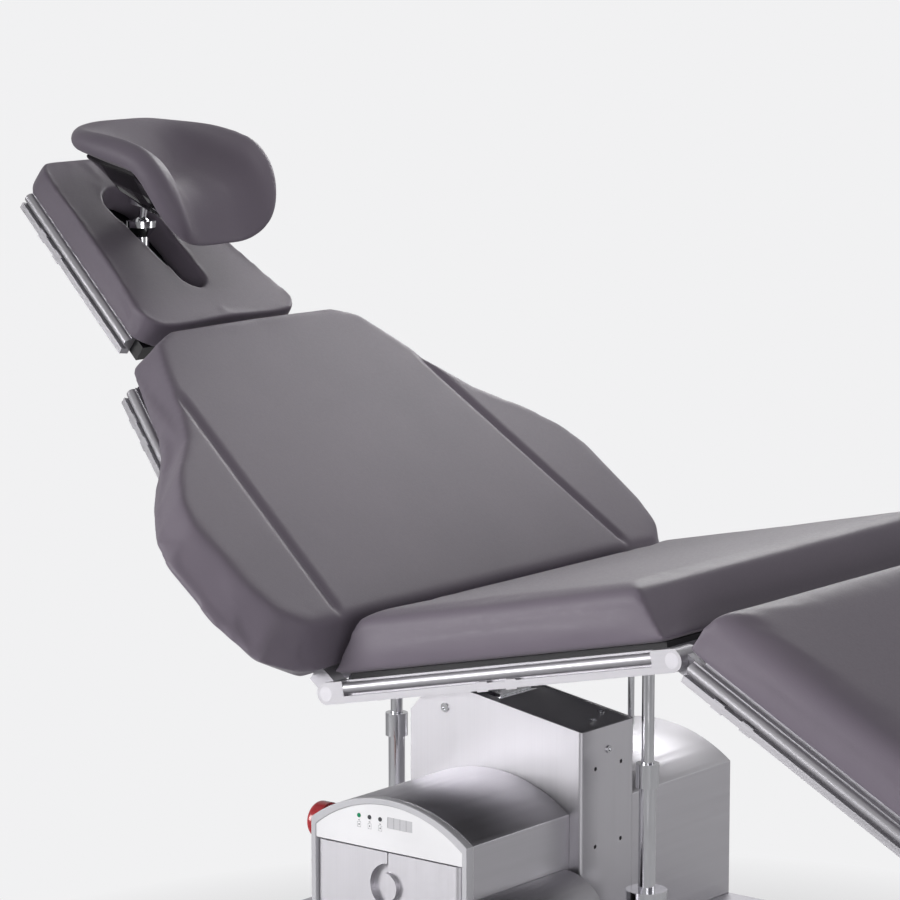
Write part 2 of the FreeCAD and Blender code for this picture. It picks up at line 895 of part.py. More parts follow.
def cup_shell():
    outer = shell_dish(shell_inset, shell_depth)
    hollow = shell_dish(shell_inset + shell_wall, shell_depth - shell_wall)
    hollow.translate(Vector(0, 0, shell_wall / 2))
    return cup_place(outer.cut(hollow))


def cup_ball():
    return Part.makeSphere(ball_radius, ball_centre())


def cup_stem():
    # The neck between the ball and the shell, with a round foot that carries the shell.
    reach = cup_rise - cup_pad / 2 - shell_depth * 0.5
    neck = rod(Vector(0, 0, 0), Z, neck_radius, reach)
    foot = rod(Vector(0, 0, reach - shell_depth * 0.5), Z, stem_foot_radius, shell_depth * 0.5)
    stem = neck.fuse(foot).cut(Part.makeSphere(ball_radius + stem_gap, Vector(0, 0, 0)))
    return cup_place(stem.cut(shell_dish(shell_inset, shell_depth + seat_gap))).removeSplitter()


def leg_rails():
    rails = []
    first = 70.0
    places = [first, first + lip_spacing]
    for side in (-1, 1):
        rails.append(leg_place(side_rail(leg_rail_start, leg_length - leg_rail_end, side, places)))
    return rails


def leg_frame():
    top = -section_base
    low = top - member_height
    end = leg_length - leg_frame_end
    shape = None
    for side in (-1, 1):
        lug, bore = section_lug(0, lug_reach, side)
        outer = side * rail_inner
        inner = side * (rail_inner - member_width)
        arm = block(leg_rail_start, end, min(outer, inner), max(outer, inner), low, top)
        arm = arm.fuse(lug).cut(bore)
        shape = arm if shape is None else shape.fuse(arm)
    half = rail_inner - member_width
    for u in (leg_cross_start, end - member_width):
        shape = shape.fuse(block(u, u + member_width, -half, half, low, top))
    board = block(board_rear, leg_length - leg_rail_start, -rail_inner, rail_inner, top,
                  top + board_thickness)
    return leg_place(shape.fuse(board).removeSplitter())


def leg_cushion():
    body = block(leg_start, leg_length, -half_width, half_width, cushion_base, leg_cushion_top)
    tops = [edge for edge in body.Edges if edge.CenterOfMass.z > leg_cushion_top - 1]
    return leg_place(body.makeFillet(2 * cushion_round, tops))


def lip_line(x):
    # Height of the column housing's slanted top at a place along the table.
    return housing_high_end - (x - housing_rear) * math.tan(math.radians(housing_slope))


def housing_profile(inset, low, top_drop):
    x0 = housing_rear + inset
    x1 = housing_front - inset
    cut_x = x0 + housing_chamfer - inset / 2
    drop = top_drop
    return [Vector(x0, 0, low), Vector(x1, 0, low), Vector(x1, 0, lip_line(x1) - drop),
            Vector(cut_x, 0, lip_line(cut_x) - drop),
            Vector(x0, 0, lip_line(cut_x) - housing_chamfer * 1.08 - drop)]


def column_housing():
    half = housing_width / 2
    outer = prism(housing_profile(0.0, housing_low, 0.0), Vector(0, housing_width, 0))
    outer.translate(Vector(0, -half, 0))
    corners = [edge for edge in outer.Edges if edge.BoundBox.ZLength > 150
               and edge.BoundBox.XLength < 1 and edge.CenterOfMass.x > housing_x]
    outer = outer.makeFillet(5.0, corners)
    wall = housing_wall
    inner = prism(housing_profile(wall, housing_low - 1.0, -20.0), Vector(0, housing_width - 2 * wall, 0))
    inner.translate(Vector(0, -half + wall, 0))
    shape = outer.cut(inner)
    for y in (-hole_spacing_y / 2, hole_spacing_y / 2):
        for z in (hole_low, hole_low + hole_spacing_z):
            shape = shape.cut(rod(Vector(housing_front - 2 * wall, y, z), X, hole_radius, 3 * wall))
    return shape.removeSplitter()


def housing_top_plate():
    # A flat plate let into the slanted top, with the mast's opening.
    half = housing_width / 2 - housing_wall - seat_gap
    x0 = housing_rear + housing_chamfer + 2.0
    x1 = housing_front - housing_wall - seat_gap
    points = [Vector(x0, -half, lip_line(x0) - top_plate - plate_lip),
              Vector(x1, -half, lip_line(x1) - top_plate - plate_lip),
              Vector(x1, -half, lip_line(x1) - plate_lip), Vector(x0, -half, lip_line(x0) - plate_lip)]
    plate = prism(points, Vector(0, 2 * half, 0))
    side = mast_outer_side / 2 + mast_gap
    opening = block(mast_x - side, mast_x + side, -side, side, housing_low, housing_high_end + 20)
    return plate.cut(opening)


def screw_head(place, along, radius=4.0, height=1.5):
    head = rod(place, along, radius, height)
    return head.cut(rod(place + along * 0.6, along, radius * 0.45, height))


def housing_screws():
    screws = []
    slope = math.radians(housing_slope)
    normal = Vector(math.sin(slope), 0, math.cos(slope))
    for inset, y in plate_screws:
        x = housing_front - inset
        screws.append(screw_head(Vector(x, y, lip_line(x) - plate_lip), normal))
    screws.append(screw_head(Vector(housing_front, 0.0, end_screw_height), X, 4.5))
    place = Vector(housing_rear + side_screw[0], -housing_width / 2, side_screw[1])
    screws.append(screw_head(place, Vector(0, -1, 0), 5.5))
    return screws


def mast_outer():
    side = mast_outer_side / 2
    top = lip_line(mast_x + side) - 1.0
    body = block(mast_x - side, mast_x + side, -side, side, mast_bottom, top)
    inner = side - mast_wall
    return body.cut(block(mast_x - inner, mast_x + inner, -inner, inner, mast_bottom + mast_floor,
                          top))


def yoke_base():
    # The yoke stands just clear of the housing's slanted lips.
    return lip_line(mast_x - mast_outer_side / 2) + soft_gap


def mast_inner():
    side = mast_outer_side / 2 - mast_wall - mast_gap
    top = yoke_base()
    body = block(mast_x - side, mast_x + side, -side, side, mast_bottom + mast_floor + soft_gap, top)
    inner = side - mast_inner_wall
    return body.cut(block(mast_x - inner, mast_x + inner, -inner, inner, mast_bottom,
                          top - 2.0 * mast_inner_wall))


def tilt_yoke():
    # Two ears on the moving mast, joined by a bridge.
    side = mast_outer_side / 2 - mast_wall - mast_gap
    base = yoke_base()
    shape = block(mast_x - side, mast_x + side, -yoke_half - yoke_ear, yoke_half + yoke_ear,
                  base, base + yoke_bridge)
    for s in (-1, 1):
        y0 = s * yoke_half
        y1 = s * (yoke_half + yoke_ear)
        shape = shape.fuse(block(mast_x - yoke_radius, mast_x + yoke_radius, min(y0, y1),
                                 max(y0, y1), base, tilt_height))
        shape = shape.fuse(rod(Vector(mast_x, min(y0, y1), tilt_height), Y, yoke_radius, yoke_ear))
    span = 2 * (yoke_half + yoke_ear)
    return shape.cut(rod(Vector(mast_x, -span / 2, tilt_height), Y, tilt_pin_radius + running_gap,
                         span)).removeSplitter()


def tilt_pin():
    half = yoke_half + yoke_ear + seat_gap + seat_ear
    return rod(Vector(mast_x, -half, tilt_height), Y, tilt_pin_radius, 2 * half)


def strut_tube(x, top):
    tube = rod(Vector(x, 0, strut_bottom), Z, strut_tube_radius, top - strut_bottom)
    return tube.cut(rod(Vector(x, 0, strut_bottom + strut_floor), Z,
                        strut_rod_radius + strut_bore_gap, top))


def strut_fittings():
    # A collar at the mouth of each strut's tube and a round foot on the chassis.
    fittings = []
    for x, top in ((front_strut_x, front_collar_top), (rear_strut_x, rear_collar_top)):
        fittings.append(pipe(Vector(x, 0, top - collar_height), Z, collar_radius,
                             strut_tube_radius, collar_height))
        fittings.append(pipe(Vector(x, 0, chassis_high), Z, socket_radius, strut_tube_radius,
                             socket_top - chassis_high))
    return fittings


def strut_rod(x, top):
    low = strut_bottom + strut_floor + strut_travel
    body = rod(Vector(x, 0, low), Z, strut_rod_radius, top - low - rod_head_radius)
    return body.fuse(Part.makeSphere(rod_head_radius, Vector(x, 0, top - rod_head_radius)))


def arch_face(inset, y):
    # The barrel-topped outline of a side box.
    x0 = box_rear + inset
    x1 = box_front - inset
    low = Vector(x0, y, box_bottom)
    right = Vector(x1, y, box_bottom)
    a = Vector(x0, y, box_edge - inset)
    b = Vector(box_x, y, box_apex - inset)
    c = Vector(x1, y, box_edge - inset)
    edges = [Part.makeLine(low, right), Part.makeLine(right, c), Part.Arc(c, b, a).toShape(),
             Part.makeLine(a, low)]
    return Part.Face(Part.Wire(edges))


def box_shell(y0, y1):
    # A folded sheet casing, closed at its +Y end and open at the other end.
    outer = arch_face(0.0, y0).extrude(Vector(0, y1 - y0, 0))
    open_end = y0 - 1.0
    inner = arch_face(box_wall, open_end).extrude(Vector(0, y1 - box_wall - open_end, 0))
    return outer.cut(inner)


def near_box_shell():
    return box_shell(near_box_front + bezel_depth, -housing_width / 2)


def far_box_shell():
    return box_shell(housing_width / 2, far_box_end)


def panel_bezel():
    outer = arch_face(0.0, near_box_front).extrude(Vector(0, bezel_depth, 0))
    inner = arch_face(bezel_rim, near_box_front - 1.0).extrude(Vector(0, bezel_depth + 2.0, 0))
    inner = inner.fuse(block(box_rear + bezel_rim, box_front - bezel_rim, near_box_front - 1.0,
                             near_box_front + bezel_depth + 1.0, door_bottom - 4.0, box_edge - 20))
    sill = block(box_rear, box_front, near_box_front, near_box_front + bezel_depth,
                 box_bottom, door_bottom - 4.0)
    return outer.cut(inner).fuse(sill).removeSplitter()


def control_panel():
    # The plate above the doors, set just behind the bezel's front.
    inset = bezel_rim + seat_gap
    body = arch_face(inset, near_box_front + 1.0).extrude(Vector(0, bezel_depth - 1.0, 0))
    below = block(box_rear - 1, box_front + 1, near_box_front - 1, near_box_front + bezel_depth + 1,
                  0, door_top + door_gap)
    body = body.cut(below)
    x0, x1, z0, z1 = display_box()
    body = body.cut(block(x0, x1, near_box_front, near_box_front + panel_depth, z0, z1))
    for x in lamp_places():
        body = body.cut(rod(Vector(x, near_box_front, lamp_height()), Y, lamp_radius, panel_depth))
    return body.removeSplitter()


def display_box():
    centre_x = box_x + display_offset
    centre_z = door_top + display_above
    return (centre_x - display_width / 2, centre_x + display_width / 2,
            centre_z - display_height / 2, centre_z + display_height / 2)


def display_window():
    x0, x1, z0, z1 = display_box()
    gap = 0.1
    return block(x0 + gap, x1 - gap, near_box_front + 1.4, near_box_front + panel_depth,
                 z0 + gap, z1 - gap)


def lamp_places():
    first = box_x + lamp_offset - lamp_spacing
    return [first + index * lamp_spacing for index in range(3)]


def lamp_height():
    return door_top + display_above + 2.0


def indicator_lamps():
    lamps = []
    for x in lamp_places():
        lamps.append(rod(Vector(x, near_box_front + 0.4, lamp_height()), Y, lamp_radius - 0.1,
                         panel_depth - 0.4))
    return lamps


def door(side):
    # One leaf, hinged on a pin near its outer edge, with half of the round grip.
    outer_edge = box_x + side * (box_width / 2 - door_margin)
    inner_edge = box_x + side * door_gap / 2
    x0 = min(outer_edge, inner_edge)
    x1 = max(outer_edge, inner_edge)
    y0 = near_box_front + 0.5
    y1 = y0 + door_thickness
    leaf = block(x0, x1, y0, y1, door_bottom, door_top)
    pin_x = outer_edge - side * (door_thickness / 2)
    pin_y = y0 + door_thickness / 2
    leaf = leaf.cut(block(min(outer_edge, pin_x), max(outer_edge, pin_x), y0, y1, door_bottom,
                          door_top))
    leaf = leaf.fuse(rod(Vector(pin_x, pin_y, door_bottom), Z, door_thickness / 2,
                         door_top - door_bottom))
    leaf = leaf.cut(rod(Vector(pin_x, pin_y, door_bottom - 1), Z, door_pin_radius + running_gap,
                        door_top - door_bottom + 2))
    grip_z = door_top - grip_drop - grip_radius
    start = Vector(box_x, y0 - 6.0, grip_z)
    if side < 0:
        hollow = rod(Vector(box_x, y0 - 1.0, grip_z), Y, recess_radius, 9.0)
        leaf = leaf.cut(hollow)
    else:
        grip = rod(start, Y, grip_radius, 8.0)
        keep = block(box_x + door_gap / 2, box_x + 60, y0 - 10.0, y1, grip_z - 40, grip_z + 40)
        leaf = leaf.fuse(grip.common(keep))
    return leaf.removeSplitter()


def door_pins():
    pins = []
    for side in (-1, 1):
        pin_x = box_x + side * (box_width / 2 - door_margin - door_thickness / 2)
        pin_y = near_box_front + 0.5 + door_thickness / 2
        low = door_bottom - 4.0
        pin = rod(Vector(pin_x, pin_y, low), Z, door_pin_radius, door_top + 1.0 - low)
        x0 = min(pin_x - side * 4, pin_x + side * (door_margin + door_thickness / 2 - bezel_rim))
        x1 = max(pin_x - side * 4, pin_x + side * (door_margin + door_thickness / 2 - bezel_rim))
        foot = block(x0, x1, pin_y - 4, pin_y + 4, door_bottom - 4.0, door_bottom - 0.5)
        pins.append(pin.fuse(foot))
    return pins


def stop_collar():
    return pipe(Vector(box_rear, stop_y, stop_z), Vector(-1, 0, 0), stop_collar_radius,
                stop_stem_radius + running_gap, stop_collar_depth)


def stop_button():
    start = Vector(box_rear - stop_collar_depth - stop_travel - soft_gap, stop_y, stop_z)
    head = rod(start, Vector(-1, 0, 0), stop_radius, stop_height)
    far_edge = [edge for edge in head.Edges if edge.BoundBox.XLength < 0.01
                and edge.CenterOfMass.x < start.x - stop_height + 1]
    head = head.makeFillet(7.0, far_edge)
    stem = stop_collar_depth - soft_gap
    return head.fuse(rod(start + Vector(stem, 0, 0), Vector(-1, 0, 0), stop_stem_radius,
                         stem + 1.0)).removeSplitter()


def standing_block(size, y):
    # A block on the floor plate, centred below the boxes' barrel top.
    length, width, height = size
    return block(box_x - length / 2, box_x + length / 2, y - width / 2, y + width / 2, chassis_high,
                 chassis_high + height)


def control_unit():
    return standing_block(control_size, control_y)


def battery_pack():
    return standing_block(battery_size, battery_y)


def chassis_frame():
    # Two cross beams carry the castors; two long beams and the mast's foot stand between them.
    beams = []
    inner = chassis_half_length - chassis_beam
    for side in (-1, 1):
        x0 = housing_x + side * inner
        x1 = housing_x + side * chassis_half_length
        beams.append(block(min(x0, x1), max(x0, x1), -chassis_half_width, chassis_half_width,
                           chassis_low, chassis_high))
    for side in (-1, 1):
        y = side * beam_offset
        beams.append(block(housing_x - inner, housing_x + inner, y - beam_width / 2,
                           y + beam_width / 2, chassis_low, chassis_high - floor_sheet))
    reach = beam_offset - beam_width / 2
    foot = block(mast_x - mast_foot, mast_x + mast_foot, -reach, reach, chassis_low,
                 chassis_high - floor_sheet)
    side = mast_outer_side / 2
    beams.append(foot.cut(block(mast_x - side, mast_x + side, -side, side, mast_bottom, chassis_high)))
    for x, y in castor_places():
        hole = rod(Vector(x, y, chassis_low - 1), Z, stem_radius + running_gap, stem_length + 1)
        beams = [beam.cut(hole) for beam in beams]
    return beams


def floor_plate():
    # The plate that the boxes, the housing and the struts' feet stand on.
    inner = chassis_half_length - chassis_beam
    plate = block(housing_x - inner, housing_x + inner, near_box_front, far_box_end,
                  chassis_high - floor_sheet, chassis_high)
    for x in (front_strut_x, rear_strut_x):
        plate = plate.cut(rod(Vector(x, 0, 0), Z, strut_tube_radius, chassis_high + 1))
    side = mast_outer_side / 2
    return plate.cut(block(mast_x - side, mast_x + side, -side, side, mast_bottom, chassis_high + 1))


def base_cover():
    # A quarter-round cover in front of the near box, open below and at its inner end.
    face = box_front + seat_gap
    shapes = []
    for inset in (0.0, box_wall):
        radius = cover_radius - inset
        y0 = near_box_front + inset
        y1 = -cover_gap + inset
        centre = Vector(face, y0, cover_top - cover_radius)
        keep = block(face + inset, face + radius, y0, y1, cover_top - cover_radius, cover_top)
        skirt = block(face + inset, face + radius, y0, y1, chassis_high - inset,
                      cover_top - cover_radius)
        shapes.append(rod(centre, Y, radius, y1 - y0).common(keep).fuse(skirt).removeSplitter())
    return shapes[0].cut(shapes[1])


def castor_places():
    places = []
    for side_x in (-1, 1):
        for side_y in (-1, 1):
            places.append((housing_x + side_x * (chassis_half_length - castor_inset_x),
                           side_y * (chassis_half_width - castor_inset_y)))
    return places


def castor_fork(x, y):
    wheel_x = x + fork_trail
    inner = wheel_width / 2 + fork_gap
    crown = block(x - fork_half, x + fork_half, y - inner - fork_wall, y + inner + fork_wall,
                  fork_top - fork_plate_height, fork_top)
    stem_top = chassis_low + stem_length - soft_gap
    shape = crown.fuse(rod(Vector(x, y, fork_top), Z, stem_radius, stem_top - fork_top))
    shape = shape.fuse(rod(Vector(x, y, fork_top), Z, 2.0 * stem_radius,
                           chassis_low - seat_gap - fork_top))
    for side in (-1, 1):
        y0 = y + side * inner
        y1 = y0 + side * fork_wall
        low = min(y0, y1)
        cheek = prism([Vector(x - fork_half, low, fork_top), Vector(x + fork_half, low, fork_top),
                       Vector(wheel_x + fork_boss, low, wheel_radius),
                       Vector(wheel_x, low, wheel_radius - fork_foot),
                       Vector(wheel_x - fork_boss, low, wheel_radius)], Vector(0, fork_wall, 0))
        shape = shape.fuse(cheek)
    axle = rod(Vector(wheel_x, y - inner - fork_wall, wheel_radius), Y, axle_radius,
               2 * (inner + fork_wall))
    return shape.fuse(axle).removeSplitter()


def castor_wheel(x, y):
    wheel_x = x + fork_trail
    start = Vector(wheel_x, y - wheel_width / 2, wheel_radius)
    wheel = rod(start, Y, wheel_radius, wheel_width)
    wheel = wheel.makeFillet(4.0, [edge for edge in wheel.Edges if edge.BoundBox.YLength < 0.01])
    return wheel.cut(rod(start, Y, axle_radius + running_gap, wheel_width))


def pedal_axis():
    return Vector(box_x, -chassis_half_width + 20.0, pedal_height)


def brake_pedal():
    axis = pedal_axis()
    start = axis - Vector(pedal_width / 2, 0, 0)
    boss = rod(start, X, pedal_pin_radius + 6.0, pedal_width)
    plate = block(axis.x - pedal_width / 2, axis.x + pedal_width / 2, axis.y - pedal_length, axis.y,
                  axis.z - pedal_thickness / 2, axis.z + pedal_thickness / 2)
    return boss.fuse(plate).cut(rod(start, X, pedal_pin_radius + running_gap, pedal_width))


def pedal_bracket():
    axis = pedal_axis()
    ear = 8.0
    shape = rod(axis - Vector(pedal_width / 2 + ear, 0, 0), X, pedal_pin_radius,
                pedal_width + 2 * ear)
    for side in (-1, 1):
        x0 = axis.x + side * (pedal_width / 2 + seat_gap)
        x1 = x0 + side * ear
        cheek = block(min(x0, x1), max(x0, x1), axis.y - 12, axis.y + 40, axis.z - 12, chassis_low)
        shape = shape.fuse(cheek)
    bridge = block(axis.x - pedal_width / 2 - ear, axis.x + pedal_width / 2 + ear, axis.y + 16,
                   -beam_offset - beam_width / 2, chassis_low - 6, chassis_high - floor_sheet)
    return shape.fuse(bridge).removeSplitter()


def board_underside(x):
    # Height of the seat board's underside above a place along the table.
    return hinge_height + (x - hinge_x) * math.tan(tilt) - section_base / math.cos(tilt)


def sensor_rod():
    # A thin rod that hangs from the seat board beside the column housing.
    x = hinge_x + sensor_offset
    high = board_underside(x - sensor_radius) - seat_gap
    return rod(Vector(x, sensor_y, sensor_low), Z, sensor_radius, high - sensor_low)


def cable_hook():
    # A bent rod under the seat board that carries the cables.
    x = hinge_x + hook_offset
    low = hinge_height - hook_drop
    high = board_underside(x - hook_radius) - seat_gap
    post = rod(Vector(x, hook_y, low), Z, hook_radius, high - low)
    ring = Part.makeTorus(hook_bend, hook_radius, Vector(x - hook_bend, hook_y, low), Y)
    quarter = ring.common(block(x - hook_bend, x + 2 * hook_radius, hook_y - hook_bend,
                                hook_y + hook_bend, low - 2 * hook_bend, low))
    return post.fuse(quarter).removeSplitter()


save("seat_rails", *seat_rails())
save("seat_frame", seat_frame())
save("strut_carrier", *strut_carrier())
save("seat_board", seat_board())
save("seat_cushion", seat_cushion())
save("hinge_pins", *hinge_pins())
save("hinge_drives", *hinge_drives())
save("cable_rods", sensor_rod(), cable_hook())
save("tilt_pin", tilt_pin())
save("back_frame", back_frame())
save("back_rails", *back_rails())
save("back_cushion", back_cushion())
save("head_hinge_pin", head_hinge_pin())
save("head_frame", head_frame())
save("head_rails", *head_rails())
save("head_pad", head_pad())
save("clamp_block", clamp_block())
save("clamp_post", clamp_post())
save("cup_ball", cup_ball())
save("cup_stem", cup_stem())
save("cup_shell", cup_shell())
save("cup_cushion", cup_cushion())
save("leg_frame", leg_frame())
save("leg_rails", *leg_rails())
save("leg_cushion", leg_cushion())
save("column_housing", column_housing())
save("housing_top_plate", housing_top_plate())
save("housing_screws", *housing_screws())
save("mast_outer", mast_outer())
save("mast_inner", mast_inner())
save("tilt_yoke", tilt_yoke())
save("strut_tubes", strut_tube(front_strut_x, front_collar_top), strut_tube(rear_strut_x, rear_collar_top))
save("strut_fittings", *strut_fittings())
save("front_strut_rod", strut_rod(front_strut_x, front_rod_top()))
save("rear_strut_rod", strut_rod(rear_strut_x, rear_rod_top()))
save("near_box_shell", near_box_shell())
save("far_box_shell", far_box_shell())
save("panel_bezel", panel_bezel())
save("control_panel", control_panel())
save("display_window", display_window())
save("indicator_lamps", *indicator_lamps())
save("left_door", door(-1))
save("right_door", door(1))
save("door_pins", *door_pins())
save("stop_collar", stop_collar())
save("stop_button", stop_button())
save("control_unit", control_unit())
save("battery_pack", battery_pack())
save("chassis_frame", *chassis_frame(), floor_plate(), pedal_bracket())
save("base_cover", base_cover())
save("brake_pedal", brake_pedal())
for index, (castor_x, castor_y) in enumerate(castor_places(), start=1):
    save("castor_fork_%d" % index, castor_fork(castor_x, castor_y))
    save("castor_wheel_%d" % index, castor_wheel(castor_x, castor_y))
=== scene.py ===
# %% [markdown]
# An operating table: padded sections in plum grey leatherette, carried by a brushed steel
# column. The construction arrives already packed, and this script only dresses it. So the
# first step loads that frame.

# %% The frame
import json
import math

import bmesh
import bpy
import numpy as np
from mathutils import Matrix, Vector


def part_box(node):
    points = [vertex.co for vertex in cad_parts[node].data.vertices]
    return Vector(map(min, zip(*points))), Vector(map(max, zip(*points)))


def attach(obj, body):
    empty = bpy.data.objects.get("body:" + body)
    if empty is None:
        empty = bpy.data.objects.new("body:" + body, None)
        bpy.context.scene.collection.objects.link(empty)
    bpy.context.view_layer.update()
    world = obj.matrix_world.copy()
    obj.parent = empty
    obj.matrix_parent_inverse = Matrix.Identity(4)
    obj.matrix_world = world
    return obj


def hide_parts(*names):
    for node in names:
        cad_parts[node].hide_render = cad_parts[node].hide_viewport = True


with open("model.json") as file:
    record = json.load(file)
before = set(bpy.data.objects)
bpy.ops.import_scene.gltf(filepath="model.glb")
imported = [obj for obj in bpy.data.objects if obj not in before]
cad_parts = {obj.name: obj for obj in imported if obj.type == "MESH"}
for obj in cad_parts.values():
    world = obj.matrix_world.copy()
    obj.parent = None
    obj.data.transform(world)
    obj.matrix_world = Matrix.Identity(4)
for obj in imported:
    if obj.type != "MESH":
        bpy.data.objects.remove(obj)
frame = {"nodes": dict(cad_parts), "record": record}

scene = bpy.context.scene
nodes = frame["nodes"]
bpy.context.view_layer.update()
MM = 0.001
SAME_POINT = 0.01 * MM

# %% [markdown]
# The camera comes before the pieces, because what it sees decides where detail is spent.
# A long lens keeps the edges of the table nearly parallel, as they are in a product picture
# taken from a few metres away. The place and the two angles are the camera's own.

# %% Camera
CAMERA_PLACE = Vector((2.4785, -3.3761, 1.4085))
CAMERA_AZIMUTH = math.radians(38.4)
CAMERA_ELEVATION = math.radians(9.05)
LENS = 148.0
SENSOR = 36.0

towards_camera = Vector((
    math.sin(CAMERA_AZIMUTH) * math.cos(CAMERA_ELEVATION),
    -math.cos(CAMERA_AZIMUTH) * math.cos(CAMERA_ELEVATION),
    math.sin(CAMERA_ELEVATION),
))
camera_data = bpy.data.cameras.new("camera")
camera_data.lens = LENS
camera_data.sensor_width = SENSOR
camera_data.clip_end = 200.0
camera = bpy.data.objects.new("camera", camera_data)
camera.location = CAMERA_PLACE
camera.rotation_mode = "QUATERNION"
camera.rotation_quaternion = (-towards_camera).to_track_quat("-Z", "Y")
scene.collection.objects.link(camera)
scene.camera = camera
print("camera", LENS, "mm lens")


# %% [markdown]
# Every finish is a small node tree. Three helpers keep the trees short: one starts a
# material and hands back its shader, one adds a node with its settings, and one gives
# coordinates that lie still on a piece, so that a grain turns with the piece that it is on.

# %% Helpers for node trees
def linear(red, green, blue):
    """A colour read off as 0 to 255, as the linear values that a shader wants."""
    def one(value):
        share = value / 255
        return share / 12.92 if share <= 0.04045 else ((share + 0.055) / 1.055) ** 2.4
    return (one(red), one(green), one(blue), 1.0)


def start_material(name, colour, roughness, metallic=0.0):
    material = bpy.data.materials.new(name)
    material.use_nodes = True
    shader = material.node_tree.nodes["Principled BSDF"]
    shader.inputs["Base Color"].default_value = colour
    shader.inputs["Roughness"].default_value = roughness
    shader.inputs["Metallic"].default_value = metallic
    return material, shader


def add_node(material, kind, **values):
    node = material.node_tree.nodes.new("ShaderNode" + kind)
    for key, value in values.items():
        if key in node.inputs:
            node.inputs[key].default_value = value
        else:
            setattr(node, key, value)
    return node


def join(material, source, target):
    material.node_tree.links.new(source, target)


def grain_space(material, size, pitch=0.0):
    """Object coordinates turned by pitch about Y, in units of size along each axis."""
    place = add_node(material, "TexCoord")
    mapping = add_node(material, "Mapping", vector_type="TEXTURE")
    mapping.inputs["Rotation"].default_value = (0.0, pitch, 0.0)
    mapping.inputs["Scale"].default_value = size
    join(material, place.outputs["Object"], mapping.inputs["Vector"])
    return mapping.outputs["Vector"]


def noise(material, space, scale=1.0, detail=3.0):
    texture = add_node(material, "TexNoise", Scale=scale, Detail=detail)
    join(material, space, texture.inputs["Vector"])
    return texture.outputs["Fac"]


def spread(material, value, low, high):
    """A noise value, stretched to run from low to high."""
    ramp = add_node(material, "MapRange")
    ramp.inputs["From Min"].default_value = 0.3
    ramp.inputs["From Max"].default_value = 0.7
    ramp.inputs["To Min"].default_value = low
    ramp.inputs["To Max"].default_value = high
    join(material, value, ramp.inputs["Value"])
    return ramp.outputs["Result"]


def two_tones(material, value, first, second):
    ramp = add_node(material, "ValToRGB")
    ramp.color_ramp.elements[0].position = 0.3
    ramp.color_ramp.elements[1].position = 0.7
    ramp.color_ramp.elements[0].color = first
    ramp.color_ramp.elements[1].color = second
    join(material, value, ramp.inputs["Fac"])
    return ramp.outputs["Color"]


def bump(material, shader, height, depth, strength=1.0, before=None):
    node = add_node(material, "Bump", Distance=depth, Strength=strength)
    join(material, height, node.inputs["Height"])
    if before is not None:
        join(material, before, node.inputs["Normal"])
    join(material, node.outputs["Normal"], shader.inputs["Normal"])
    return node.outputs["Normal"]


print("helpers ready")


# %% [markdown]
# The pads are covered in smooth upholstery vinyl: a fine pebbled grain about a millimetre
# across, a soft broad shine, and a colour that drifts very slightly. The grain is cells with
# a finer noise over them. A little sheen on the shader lifts the colour at glancing angles.

# %% Leatherette
PLUM = linear(121, 112, 124)
PLUM_DEEP = linear(114, 106, 118)
GRAIN_CELLS = 950.0
GRAIN_DEPTH = 0.00012


def make_leatherette():
    material, shader = start_material("leatherette", PLUM, 0.5)
    space = grain_space(material, (1.0, 1.0, 1.0))
    join(material, two_tones(material, noise(material, space, 5.0), PLUM_DEEP, PLUM),
         shader.inputs["Base Color"])
    join(material, spread(material, noise(material, space, 240.0), 0.44, 0.54),
         shader.inputs["Roughness"])
    cells = add_node(material, "TexVoronoi", Scale=GRAIN_CELLS)
    join(material, space, cells.inputs["Vector"])
    coarse = bump(material, shader, cells.outputs["Distance"], GRAIN_DEPTH, 0.6)
    bump(material, shader, noise(material, space, 320.0), GRAIN_DEPTH, 0.5, coarse)
    shader.inputs["Specular IOR Level"].default_value = 0.28
    shader.inputs["Sheen Weight"].default_value = 0.12
    shader.inputs["Sheen Roughness"].default_value = 0.5
    return material


leatherette = make_leatherette()
print("finish", leatherette.name)


# %% [markdown]
# Bare metal differs by how it was worked. Sheet steel is brushed one way, which draws its
# highlights out across the lines. Anodised rails are duller and even, and the rods are
# polished. One function makes all of them: long thin noise for the lines, in both
# roughness and height.

# %% Metals
STEEL = linear(194, 192, 197)
RAIL = linear(184, 182, 187)
CHROME = linear(226, 226, 230)


def make_brushed(name, colour, rough, line, pitch=0.0, depth=0.00002, metal=1.0):
    """line is the size of one brushed line in metres, along x, y and z."""
    material, shader = start_material(name, colour, rough, metal)
    space = grain_space(material, line, pitch)
    lines = noise(material, space, 1.0, 2.0)
    join(material, spread(material, lines, rough - 0.06, rough + 0.07),
         shader.inputs["Roughness"])
    shade = [0.93 * c for c in colour[:3]] + [1.0]
    join(material, two_tones(material, lines, shade, colour), shader.inputs["Base Color"])
    bump(material, shader, lines, depth, 0.35)
    return material


